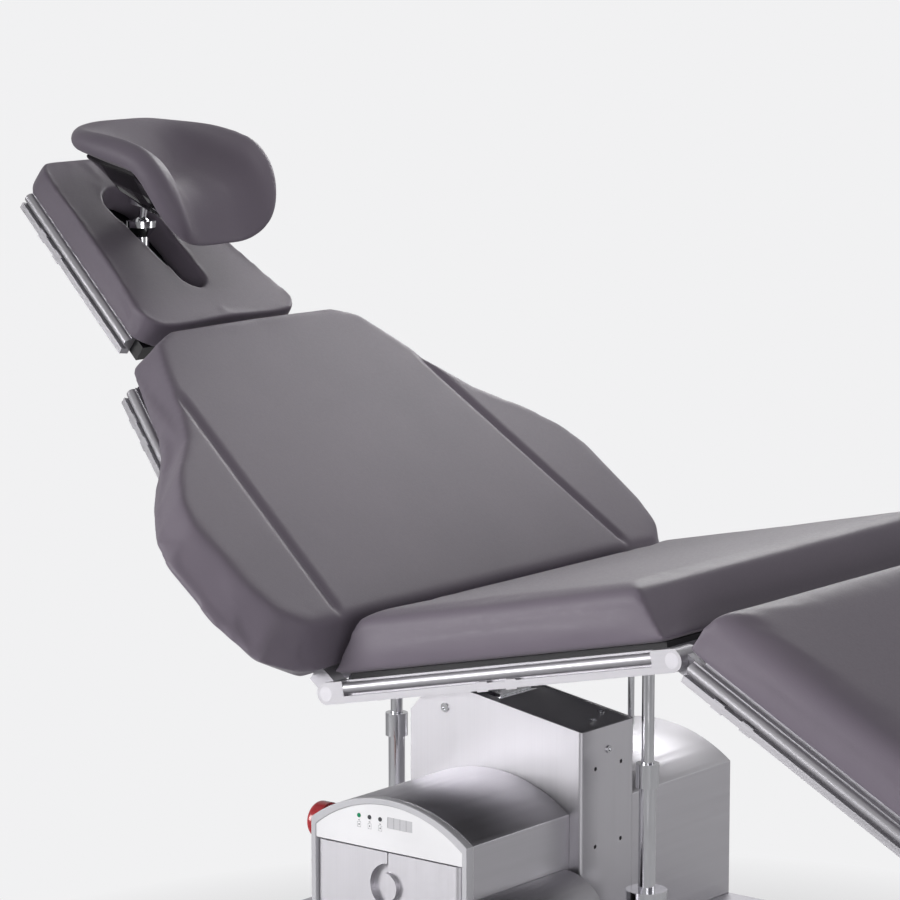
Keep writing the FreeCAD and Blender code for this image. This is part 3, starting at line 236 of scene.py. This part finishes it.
LINE = 0.0009
LONG = 0.22
SEAT_TILT = math.radians(12.2)
BACK_TILT = math.radians(36.8)
LEG_TILT = math.radians(28.0)
RAIL_LINE = (LONG, 0.003, 0.003)
RAIL_DEPTH = 0.000002
RAIL_METAL = 0.75
steel_upright = make_brushed("steel_upright", STEEL, 0.42, (LINE, LINE, LONG))
steel_level = make_brushed("steel_level", STEEL, 0.42, (LINE, LONG, LINE))
door_metal = make_brushed("door_metal", linear(200, 198, 203), 0.44, (LINE, LINE, LONG))
rail_seat = make_brushed("rail_seat", RAIL, 0.42, RAIL_LINE, -SEAT_TILT, RAIL_DEPTH, RAIL_METAL)
rail_back = make_brushed("rail_back", RAIL, 0.42, RAIL_LINE, BACK_TILT, RAIL_DEPTH, RAIL_METAL)
rail_leg = make_brushed("rail_leg", RAIL, 0.42, RAIL_LINE, LEG_TILT, RAIL_DEPTH, RAIL_METAL)
polished = make_brushed("polished_rod", CHROME, 0.13, (0.004, 0.004, 0.03), 0.0, 0.000004)
print("metals", len([m for m in bpy.data.materials if m.node_tree]))


# %% [markdown]
# Painted and moulded pieces share one recipe too: a base colour with a faint drift, and the
# fine orange peel of powder coat or of a mould wall. What differs is the size and depth
# of that peel, and whether a clear coat lies on top, as on the black shell.

# %% Paints and plastics
def make_moulded(name, colour, rough, peel=0.0012, depth=0.00003, coat=0.0):
    material, shader = start_material(name, colour, rough)
    space = grain_space(material, (peel, peel, peel))
    wide = grain_space(material, (0.12, 0.12, 0.12))
    shade = [0.9 * c for c in colour[:3]] + [1.0]
    join(material, two_tones(material, noise(material, wide), shade, colour),
         shader.inputs["Base Color"])
    join(material, spread(material, noise(material, space), rough - 0.04, rough + 0.05),
         shader.inputs["Roughness"])
    bump(material, shader, noise(material, space), depth, 0.5)
    shader.inputs["Coat Weight"].default_value = coat
    shader.inputs["Coat Roughness"].default_value = 0.05
    return material


frame_paint = make_moulded("frame_paint", linear(186, 184, 190), 0.42)
frame_paint.node_tree.nodes["Principled BSDF"].inputs["Metallic"].default_value = 0.6
anthracite = make_moulded("anthracite_plate", linear(128, 126, 132), 0.36)
satin_black = make_moulded("satin_black", linear(22, 21, 24), 0.4)
black_gloss = make_moulded("black_gloss", linear(14, 13, 15), 0.2, 0.004, 0.00001, 0.8)
panel_foil = make_moulded("panel_foil", linear(250, 249, 252), 0.5, 0.0006)
bezel_silver = make_moulded("bezel_silver", linear(205, 204, 209), 0.36, 0.0006)
stop_red = make_moulded("stop_red", linear(190, 20, 32), 0.3, 0.002, 0.00001, 0.5)
stop_yellow = make_moulded("collar_yellow", linear(196, 160, 40), 0.4)
dark_board = make_moulded("dark_board", linear(40, 38, 42), 0.6)
rubber = make_moulded("grey_rubber", linear(88, 88, 92), 0.6)
castor_grey = make_moulded("castor_grey", linear(150, 150, 155), 0.45)
motor_grey = make_moulded("motor_grey", linear(120, 120, 126), 0.4)
battery_black = make_moulded("battery_black", linear(50, 50, 54), 0.5)
glass_grey = make_moulded("display_glass", linear(212, 211, 215), 0.3, 0.003, 0.00001)
print("finishes", len(bpy.data.materials))


# %% [markdown]
# The panel's printing is drawn by place too: under each lamp a short bar and a small framed
# square, with no lettering. A test of one coordinate against a centre and a half width gives
# a stripe, and two stripes multiplied give a rectangle. The display's cells are stripes.

# %% Printing on the panel
LAMP_XS = (-0.1375, -0.1220, -0.1065)
BAR_Z, BAR_HALF = 0.3334, (0.0013, 0.0004)
SQUARE_Z, SQUARE_HALF = 0.3285, (0.0008, 0.0009)
FRAME_HALF, FRAME_LINE = (0.0025, 0.0032), 0.0003
DISPLAY_X, CELL = -0.0960, 0.0090
CELL_LINE_HALF = 0.0006
INK = linear(90, 88, 94)
CELL_LINE = linear(178, 177, 182)


def maths(material, operation, first, second):
    node = add_node(material, "Math", operation=operation)
    for socket, value in zip(node.inputs, (first, second)):
        if isinstance(value, float):
            socket.default_value = value
        else:
            join(material, value, socket)
    return node.outputs["Value"]


def stripe(material, place, centre, half):
    apart = maths(material, "SUBTRACT", place, centre)
    return maths(material, "LESS_THAN", maths(material, "ABSOLUTE", apart, 0.0), half)


def rectangle(material, axes, x, z, half):
    return maths(material, "MULTIPLY", stripe(material, axes.outputs["X"], x, half[0]),
                 stripe(material, axes.outputs["Z"], z, half[1]))


def axes_of(material):
    place = add_node(material, "TexCoord")
    axes = add_node(material, "SeparateXYZ")
    join(material, place.outputs["Object"], axes.inputs["Vector"])
    return axes


def print_on(material, mask, ink):
    """Lays ink over the base colour wherever the mask is 1."""
    shader = material.node_tree.nodes["Principled BSDF"]
    under = shader.inputs["Base Color"].links[0].from_socket
    mix = add_node(material, "MixRGB", Color2=ink)
    join(material, mask, mix.inputs["Fac"])
    join(material, under, mix.inputs["Color1"])
    join(material, mix.outputs["Color"], shader.inputs["Base Color"])


def print_panel(material):
    axes = axes_of(material)
    mask = None
    for x in LAMP_XS:
        inner = tuple(half - FRAME_LINE for half in FRAME_HALF)
        frame_mark = maths(material, "SUBTRACT", rectangle(material, axes, x, SQUARE_Z, FRAME_HALF),
                           rectangle(material, axes, x, SQUARE_Z, inner))
        marks = (frame_mark, rectangle(material, axes, x, BAR_Z, BAR_HALF),
                 rectangle(material, axes, x, SQUARE_Z, SQUARE_HALF))
        for mark in marks:
            mask = mark if mask is None else maths(material, "MAXIMUM", mask, mark)
    print_on(material, mask, INK)


def print_cells(material):
    axes = axes_of(material)
    along = maths(material, "SUBTRACT", axes.outputs["X"], DISPLAY_X)
    place = maths(material, "PINGPONG", along, CELL / 2)
    print_on(material, maths(material, "LESS_THAN", place, CELL_LINE_HALF), CELL_LINE)


print_panel(panel_foil)
print_cells(glass_grey)
print("printed", panel_foil.name, glass_grey.name)


# %% [markdown]
# The three lamps are one group of pieces with two colours: the first is green, the others
# are dark. Where a group keeps one mesh, the place along the row can choose the colour.

# %% Lamp lenses
LAMP_SPLIT = -0.130


def make_lamp():
    material, shader = start_material("lamp_lens", linear(60, 60, 64), 0.2)
    first = maths(material, "LESS_THAN", axes_of(material).outputs["X"], LAMP_SPLIT)
    join(material, two_tones(material, first, linear(70, 70, 75), linear(20, 140, 95)),
         shader.inputs["Base Color"])
    return material


lamp_lens = make_lamp()
print("finish", lamp_lens.name)

# %% [markdown]
# The construction pieces keep their shape and only take a finish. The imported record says
# which slot each one has, so a table from slot to material covers them all, and the few
# that need lines in their own direction come after it.

# %% Finishes for the construction
FINISH = {
    "cushion": leatherette, "steel": steel_upright, "rail": rail_seat,
    "chrome": polished, "frame_paint": frame_paint, "top_plate": anthracite,
    "black_shell": black_gloss, "panel": panel_foil, "bezel": bezel_silver,
    "door": door_metal, "stop_red": stop_red, "collar": stop_yellow, "lamp": lamp_lens,
    "display": glass_grey, "board": dark_board, "tyre": rubber, "castor": castor_grey,
    "motor": motor_grey, "battery": battery_black, "mast": polished,
}
OWN_FINISH = {
    "near_box_shell": steel_level, "far_box_shell": steel_level, "base_cover": steel_level,
    "back_rails": rail_back, "head_rails": rail_back, "leg_rails": rail_leg,
    "head_frame": satin_black, "clamp_block": satin_black,
}
slot_of = {s["node"]: s["material_slot"] for s in frame["record"]["subparts"]}


def dress(piece, material):
    piece.data.materials.clear()
    piece.data.materials.append(material)


for name, piece in nodes.items():
    dress(piece, OWN_FINISH.get(name, FINISH[slot_of[name]]))
print("dressed", len(nodes), "nodes")


# %% [markdown]
# A pressed or folded edge is never sharp, and it is the thin bright line along it that
# makes metal look like metal. A bevel modifier on the pieces with folded edges gives it
# without touching their mesh. The limit by angle keeps it off the round faces.

# %% Soft edges on the folded sheet
FOLDED = {
    "near_box_shell": 0.9, "far_box_shell": 0.9, "base_cover": 0.9, "panel_bezel": 1.0,
}


def soften_edges(piece, width):
    weld = piece.modifiers.new("weld", "WELD")
    weld.merge_threshold = SAME_POINT
    bevel = piece.modifiers.new("edge", "BEVEL")
    bevel.width = width * MM
    bevel.segments = 2
    bevel.limit_method = "ANGLE"
    bevel.angle_limit = math.radians(40)
    bevel.harden_normals = True


for name, width in FOLDED.items():
    soften_edges(nodes[name], width)
print("softened", len(FOLDED), "pieces")


# %% [markdown]
# Each pad lies in the plane of its own section, so it is easiest to think about in that
# section's own directions: u along the table, y across, and w up from the hinge plane.
# A small class of matrices turns these into the frame's coordinates and back.

# %% Planes of the sections
HINGE = Vector((-0.1365, 0.0, 0.490))
LEG_HINGE = Vector((0.33266, 0.0, 0.59143))


def section_plane(origin, along):
    """Matrix from (u, y, w) to the frame. along is the direction of u, level across."""
    along = along.normalized()
    across = Vector((0.0, 1.0, 0.0))
    up = along.cross(across)
    if up.z < 0:
        up = -up
    turn = Matrix((along, across, up)).transposed().to_4x4()
    return Matrix.Translation(origin) @ turn


seat_plane = section_plane(HINGE, Vector((math.cos(SEAT_TILT), 0, math.sin(SEAT_TILT))))
back_plane = section_plane(HINGE, Vector((-math.cos(BACK_TILT), 0, math.sin(BACK_TILT))))
leg_plane = section_plane(LEG_HINGE, Vector((math.cos(LEG_TILT), 0, -math.sin(LEG_TILT))))
print("seat plane up", [round(v, 3) for v in seat_plane.to_3x3() @ Vector((0, 0, 1))])


# %% [markdown]
# A pad is foam under a tight cover. The foam block has the size that the construction
# gives it, so the pad starts as a copy of that block. A voxel remesh turns the block into
# even quads, a smoothing rounds its edges, and then cloth with a little pressure inside
# swells the cover as foam does. The move is capped, so the pad keeps its place, and the
# side that lies on the board stays flat.

# %% Foam blocks with a tight cover
FOOT_RISE = 0.022
FOOT_SOFTNESS = 0.12
CALM_ROUNDS = 3
HELD_BAND = 0.006
SWELL_FRAMES = 20


def points_of(mesh):
    flat = np.empty(len(mesh.vertices) * 3)
    mesh.vertices.foreach_get("co", flat)
    return flat.reshape(-1, 3)


def set_points(mesh, points):
    mesh.vertices.foreach_set("co", points.ravel())
    mesh.update()


def in_plane(points, plane):
    back = np.array(plane.inverted())
    return points @ back[:3, :3].T + back[:3, 3]


def from_plane(points, plane):
    forth = np.array(plane)
    return points @ forth[:3, :3].T + forth[:3, 3]


def settle_modifiers(piece):
    """The mesh with its modifiers worked in, and the modifiers gone."""
    graph = bpy.context.evaluated_depsgraph_get()
    made = bpy.data.meshes.new_from_object(piece.evaluated_get(graph))
    piece.modifiers.clear()
    piece.data = made


def foam_block(name, node, plane, level, voxel, rounds):
    """An even quad mesh of a construction block; its edges are rounded, its foot hardly."""
    loose = bmesh.new()
    loose.from_mesh(nodes[node].data)
    bmesh.ops.transform(loose, matrix=plane.inverted(), verts=loose.verts)
    bmesh.ops.remove_doubles(loose, verts=loose.verts, dist=SAME_POINT)
    mesh = bpy.data.meshes.new(name)
    loose.to_mesh(mesh)
    loose.free()
    piece = bpy.data.objects.new(name, mesh)
    scene.collection.objects.link(piece)
    remesh = piece.modifiers.new("even", "REMESH")
    remesh.mode = "VOXEL"
    remesh.voxel_size = voxel
    settle_modifiers(piece)
    height = points_of(piece.data)[:, 2] - level
    loosened = np.clip(height / FOOT_RISE, FOOT_SOFTNESS, 1.0)
    soft = piece.vertex_groups.new(name="soft")
    for index, weight in enumerate(loosened):
        soft.add([index], float(weight), "REPLACE")
    smooth = piece.modifiers.new("round", "SMOOTH")
    smooth.factor = 0.5
    smooth.iterations = rounds
    smooth.vertex_group = "soft"
    settle_modifiers(piece)
    piece.vertex_groups.clear()
    piece.data.transform(plane)
    return piece


def swell(piece, plane, rest_level, pressure, cap):
    """Cloth with pressure inside, for a few frames; no point moves more than cap."""
    start = points_of(piece.data)
    low = in_plane(start, plane)[:, 2] < rest_level + HELD_BAND
    held = piece.vertex_groups.new(name="held")
    held.add([int(i) for i in np.nonzero(low)[0]], 1.0, "REPLACE")
    cloth = piece.modifiers.new("cover", "CLOTH")
    cloth.settings.quality = 4
    cloth.settings.mass = 0.3
    cloth.settings.tension_stiffness = 20
    cloth.settings.compression_stiffness = 20
    cloth.settings.shear_stiffness = 10
    cloth.settings.bending_stiffness = 8.0
    cloth.settings.use_pressure = True
    cloth.settings.uniform_pressure_force = pressure
    cloth.settings.vertex_group_mass = "held"
    cloth.settings.effector_weights.gravity = 0.0
    cloth.collision_settings.use_collision = False
    for number in range(1, SWELL_FRAMES + 1):
        scene.frame_set(number)
    graph = bpy.context.evaluated_depsgraph_get()
    moved = points_of(piece.evaluated_get(graph).data)
    piece.modifiers.clear()
    piece.vertex_groups.clear()
    scene.frame_set(1)
    step = moved - start
    length = np.linalg.norm(step, axis=1, keepdims=True)
    step *= np.minimum(1.0, cap / np.maximum(length, 1e-9))
    set_points(piece.data, start + step)
    print(piece.name, "swelled by", round(float(length.max()) * 1000, 1), "mm before the cap")


def lay_flat(piece, plane, level):
    """What hangs under the board's level is pressed flat on it."""
    local = in_plane(points_of(piece.data), plane)
    local[:, 2] = np.maximum(local[:, 2], level)
    set_points(piece.data, from_plane(local, plane))


def refine(piece):
    """Takes the small waves out of the cover, and halves its quads."""
    calm = piece.modifiers.new("calm", "SMOOTH")
    calm.factor = 0.4
    calm.iterations = CALM_ROUNDS
    finer = piece.modifiers.new("finer", "SUBSURF")
    finer.levels = 1
    settle_modifiers(piece)


def finish_pad(piece, node, body):
    dress(piece, leatherette)
    for face in piece.data.polygons:
        face.use_smooth = True
    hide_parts(node)
    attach(piece, body)
    print(piece.name, len(piece.data.vertices), "points")


print("pad helpers ready")

# %% [markdown]
# The seat pad is a block with sloping ends. It is the simplest of the pads, and the leg
# pad is made the same way.

# %% Seat and leg pads
BOARD_LEVEL = 0.019
PAD_VOXEL = 0.006


def make_block_pad(name, node, body, plane):
    pad = foam_block(name, node, plane, BOARD_LEVEL, PAD_VOXEL, 5)
    swell(pad, plane, BOARD_LEVEL, 3.0, 0.0025)
    refine(pad)
    lay_flat(pad, plane, BOARD_LEVEL)
    finish_pad(pad, node, body)
    return pad


seat_pad = make_block_pad("seat_pad", "seat_cushion", "seat", seat_plane)
leg_pad = make_block_pad("leg_pad", "leg_cushion", "leg", leg_plane)

# %% [markdown]
# The back pad has a flat middle between two long welded creases, and thicker sides that
# wrap round the rails. A crease is narrower than a voxel, so it is pressed in after the
# remesh, along a straight line on each side.

# %% Back pad
CREASE_HEAD = (0.401, 0.2245)
CREASE_FOOT = (0.0655, 0.2728)
CREASE_WIDTH = 0.0055
CREASE_DEPTH = 0.0045
CREASE_FADE = 0.02
CREASE_LOWEST = 0.05
BOLSTER_FOOT = -0.010


def press_creases(piece, plane):
    local = in_plane(points_of(piece.data), plane)
    head = np.array(CREASE_HEAD)
    foot = np.array(CREASE_FOOT)
    line = head - foot
    length = np.linalg.norm(line)
    line = line / length
    offset = np.stack([local[:, 0], np.abs(local[:, 1])], axis=1) - foot
    along = offset @ line
    aside = np.abs(offset[:, 0] * line[1] - offset[:, 1] * line[0])
    ends = np.clip(np.minimum(along, length - along) / CREASE_FADE + 1.0, 0, 1)
    top = local[:, 2] > CREASE_LOWEST
    local[:, 2] -= CREASE_DEPTH * np.exp(-(aside / CREASE_WIDTH) ** 2) * ends * top
    set_points(piece.data, from_plane(local, plane))


def make_back_pad():
    pad = foam_block("back_pad", "back_cushion", back_plane, BOLSTER_FOOT, PAD_VOXEL, 7)
    swell(pad, back_plane, BOARD_LEVEL, 3.0, 0.0025)
    refine(pad)
    press_creases(pad, back_plane)
    finish_pad(pad, "back_cushion", "back")
    return pad


back_pad = make_back_pad()

# %% [markdown]
# The head pad is smaller and has the slot that the head rest slides in. The cover is drawn
# down into the slot, so its rim is as round as the outer edge.

# %% Head pad
TRAY_LEVEL = 0.0128
HEAD_VOXEL = 0.0045


def make_head_pad():
    pad = foam_block("head_pad_cover", "head_pad", back_plane, TRAY_LEVEL, HEAD_VOXEL, 7)
    swell(pad, back_plane, TRAY_LEVEL, 3.0, 0.002)
    refine(pad)
    lay_flat(pad, back_plane, TRAY_LEVEL)
    finish_pad(pad, "head_pad", "head_plate")
    return pad


head_pad_cover = make_head_pad()

# %% [markdown]
# The cup of the head rest is a saddle: high at its two sides, low where the neck leaves it.
# Its outline is a rounded square. It is made as rings of points round one centre: the top
# surface from the middle outwards, a half round rim, and the underside back to the middle.
# The top is then hollowed along the middle and rolled up at the two sides, as foam is cut.

# %% Cup of the head rest
CUP_TILT = math.radians(11.7)
CUP_AHEAD = 0.043
CUP_RISE = 0.0825
CUP_LENGTH = 0.100
NECK_LENGTH = 0.092
CUP_WIDTH = 0.102
CUP_SQUARE = 3.9
SIDE_RISE = 0.026
NECK_DROP = 0.068
SIDE_DROP = 0.040
NECK_BEND = 2.7
PAD_HALF = 0.013
DISH_SINK = 0.018
DISH_EDGES = (0.30, 0.82)
RIDGE_RISE = 0.006
RIDGE_EDGES = (0.55, 0.88)
RINGS = 22
SPOKES = 120
RIM_STEPS = 10

ball_low, ball_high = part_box("cup_ball")
cup_plane = section_plane((ball_low + ball_high) / 2,
                          Vector((math.cos(CUP_TILT), 0, -math.sin(CUP_TILT))))


def saddle(x, y):
    """Height of the pad's middle surface over the ball, and its slopes."""
    ahead = (x - CUP_AHEAD) / CUP_LENGTH
    aside = y / CUP_WIDTH
    if ahead > 0:
        drop = NECK_DROP + SIDE_DROP * aside ** 2
        height = CUP_RISE + SIDE_RISE * aside ** 2 - drop * ahead ** NECK_BEND
        slope_x = -drop * NECK_BEND * ahead ** (NECK_BEND - 1) / CUP_LENGTH
        slope_y = 2 * aside * (SIDE_RISE - SIDE_DROP * ahead ** NECK_BEND) / CUP_WIDTH
        return height, slope_x, slope_y
    height = CUP_RISE + SIDE_RISE * (aside ** 2 + (1 - aside ** 2) * ahead ** 2)
    slope_x = 2 * SIDE_RISE * (1 - aside ** 2) * ahead / CUP_LENGTH
    slope_y = 2 * SIDE_RISE * aside * (1 - ahead ** 2) / CUP_WIDTH
    return height, slope_x, slope_y


def cup_edge(angle):
    """A point of the rounded square, and the direction straight out of it."""
    c, s = math.cos(angle), math.sin(angle)
    power = 2 / CUP_SQUARE
    length = NECK_LENGTH if c > 0 else CUP_LENGTH
    x = length * math.copysign(abs(c) ** power, c)
    y = CUP_WIDTH * math.copysign(abs(s) ** power, s)
    out_x = math.copysign((abs(x) / length) ** (CUP_SQUARE - 1), c) / length
    out_y = math.copysign((abs(y) / CUP_WIDTH) ** (CUP_SQUARE - 1), s) / CUP_WIDTH
    size = math.hypot(out_x, out_y)
    return x, y, out_x / size, out_y / size


def smooth_step(value, low, high):
    share = min(1.0, max(0.0, (value - low) / (high - low)))
    return share * share * (3 - 2 * share)


def dish_sink(x, y):
    """How far the foam's top lies under an even pad: hollow in the middle, rolled at the sides."""
    aside = abs(y) / CUP_WIDTH
    along = smooth_step(x - CUP_AHEAD, -CUP_LENGTH, 0.0)
    hollow = DISH_SINK * (1 - smooth_step(aside, *DISH_EDGES))
    return (hollow - RIDGE_RISE * smooth_step(aside, *RIDGE_EDGES)) * along


def cup_point(angle, share, side):
    """side is +1 on top and -1 below, and between them share is 1 and the rim turns."""
    edge_x, edge_y, out_x, out_y = cup_edge(angle)
    x = CUP_AHEAD + share * edge_x
    y = share * edge_y
    height, slope_x, slope_y = saddle(x, y)
    normal = Vector((-slope_x, -slope_y, 1.0)).normalized()
    turn = math.sqrt(max(0.0, 1 - side * side))
    over = PAD_HALF * side - dish_sink(x, y) * (1 + side) / 2
    away = Vector((out_x, out_y, out_x * slope_x + out_y * slope_y)).normalized()
    return Vector((x, y, height)) + normal * over + away * PAD_HALF * turn


def make_cup():
    steps = [(k / RINGS, 1.0) for k in range(1, RINGS + 1)]
    steps += [(1.0, math.cos(math.pi * k / RIM_STEPS)) for k in range(1, RIM_STEPS)]
    steps += [(k / RINGS, -1.0) for k in range(RINGS, 0, -1)]
    body = bmesh.new()
    rings = []
    for share, side in steps:
        ring = [cup_point(2 * math.pi * k / SPOKES, share, side) for k in range(SPOKES)]
        rings.append([body.verts.new(cup_plane @ p) for p in ring])
    for inner, outer in zip(rings, rings[1:]):
        for k in range(SPOKES):
            after = (k + 1) % SPOKES
            body.faces.new((inner[k], outer[k], outer[after], inner[after]))
    for ring, side in ((rings[0], 1.0), (rings[-1], -1.0)):
        middle = body.verts.new(cup_plane @ cup_point(0.0, 0.0, side))
        for k in range(SPOKES):
            body.faces.new((middle, ring[k], ring[(k + 1) % SPOKES]))
    bmesh.ops.recalc_face_normals(body, faces=body.faces)
    mesh = bpy.data.meshes.new("cup_pad")
    body.to_mesh(mesh)
    body.free()
    piece = bpy.data.objects.new("cup_pad", mesh)
    scene.collection.objects.link(piece)
    finish_pad(piece, "cup_cushion", "head_cup")
    return piece


cup_pad = make_cup()

# %% [markdown]
# The studio is a pale floor that fades into a pale surround, and soft lamps. Only rays from
# the camera, directly or through glass, see the plain surround. All the other rays meet the
# real level of light, so the brightness behind the object never washes over it.

# %% Floor and surround
PALE = linear(241, 241, 242)
FLOOR_HALF = 60.0
SHADE_NEAR = 0.4
SHADE_FAR = 1.0


def seen_ray(material):
    """1 for rays from the camera and through glass."""
    path = add_node(material, "LightPath")
    either = add_node(material, "Math", operation="MAXIMUM")
    join(material, path.outputs["Is Camera Ray"], either.inputs[0])
    join(material, path.outputs["Is Transmission Ray"], either.inputs[1])
    return either.outputs["Value"]


def make_floor():
    material, shader = start_material("pale_floor", PALE, 0.9)
    tree = material.node_tree
    space = grain_space(material, (1.0, 1.0, 1.0))
    reach = add_node(material, "VectorMath", operation="LENGTH")
    join(material, space, reach.inputs["Vector"])
    fade = add_node(material, "MapRange")
    fade.inputs["From Min"].default_value = SHADE_NEAR
    fade.inputs["From Max"].default_value = SHADE_FAR
    join(material, reach.outputs["Value"], fade.inputs["Value"])
    glow = add_node(material, "Emission", Color=PALE, Strength=1.0)
    share = add_node(material, "Math", operation="MULTIPLY")
    join(material, fade.outputs["Result"], share.inputs[0])
    join(material, seen_ray(material), share.inputs[1])
    mix = add_node(material, "MixShader")
    join(material, share.outputs["Value"], mix.inputs["Fac"])
    join(material, shader.outputs["BSDF"], mix.inputs[1])
    join(material, glow.outputs["Emission"], mix.inputs[2])
    join(material, mix.outputs["Shader"], tree.nodes["Material Output"].inputs["Surface"])
    return material


sheet = bmesh.new()
corners = [(-1, -1), (1, -1), (1, 1), (-1, 1)]
sheet.faces.new([sheet.verts.new((x * FLOOR_HALF, y * FLOOR_HALF, 0)) for x, y in corners])
floor_mesh = bpy.data.meshes.new("floor")
sheet.to_mesh(floor_mesh)
sheet.free()
floor = bpy.data.objects.new("floor", floor_mesh)
scene.collection.objects.link(floor)
dress(floor, make_floor())

SURROUND_LIGHT = 0.25
SURROUND_SHINE = 0.5
world = bpy.data.worlds.new("surround")
scene.world = world
world.use_nodes = True
soft = world.node_tree.nodes["Background"]
soft.inputs["Color"].default_value = (1.0, 1.0, 1.0, 1.0)
path = add_node(world, "LightPath")
shine = maths(world, "MULTIPLY", path.outputs["Is Glossy Ray"], SURROUND_SHINE - SURROUND_LIGHT)
join(world, maths(world, "ADD", shine, SURROUND_LIGHT), soft.inputs["Strength"])
seen = add_node(world, "Background", Color=PALE, Strength=1.0)
either = add_node(world, "MixShader")
join(world, seen_ray(world), either.inputs["Fac"])
join(world, soft.outputs["Background"], either.inputs[1])
join(world, seen.outputs["Background"], either.inputs[2])
join(world, either.outputs["Shader"], world.node_tree.nodes["World Output"].inputs["Surface"])
scene.view_settings.view_transform = "Standard"
print("floor and surround ready")

# %% [markdown]
# Five soft lamps shape the object. The key stands low on the camera's left, and its narrow
# beam is turned on the column, so it is weaker at the head. The second stands behind the
# back section and grazes the pads, which leaves the cup's dish dark. A weak one overhead
# evens out the tops. Two low ones at the leg end, a fill beside the camera and one on the
# far side, lift the pads' edges and the end faces of the boxes.

# %% Lamps
def add_lamp(name, place, aim, power, side, spread):
    data = bpy.data.lights.new(name, "AREA")
    data.shape = "SQUARE"
    data.size = side
    data.energy = power
    data.spread = math.radians(spread)
    lamp = bpy.data.objects.new(name, data)
    lamp.location = place
    lamp.rotation_mode = "QUATERNION"
    lamp.rotation_quaternion = (Vector(aim) - lamp.location).to_track_quat("-Z", "Y")
    scene.collection.objects.link(lamp)
    return lamp


add_lamp("key", (-2.4, -3.1, 1.0), (0.35, -0.2, 0.35), 8.8, 1.6, 46.0)
add_lamp("behind", (-0.9, 1.8, 1.7), (-0.4, 0.0, 0.7), 7.0, 0.9, 120.0)
add_lamp("over", (-0.1, 0.5, 2.3), (-0.45, 0.0, 0.75), 0.8, 0.7, 90.0)
add_lamp("fill", (2.6, -2.6, 0.4), (0.3, 0.0, 0.3), 11.5, 1.5, 100.0)
add_lamp("side", (2.8, 2.2, 0.5), (0.1, 0.0, 0.2), 7.5, 1.5, 120.0)
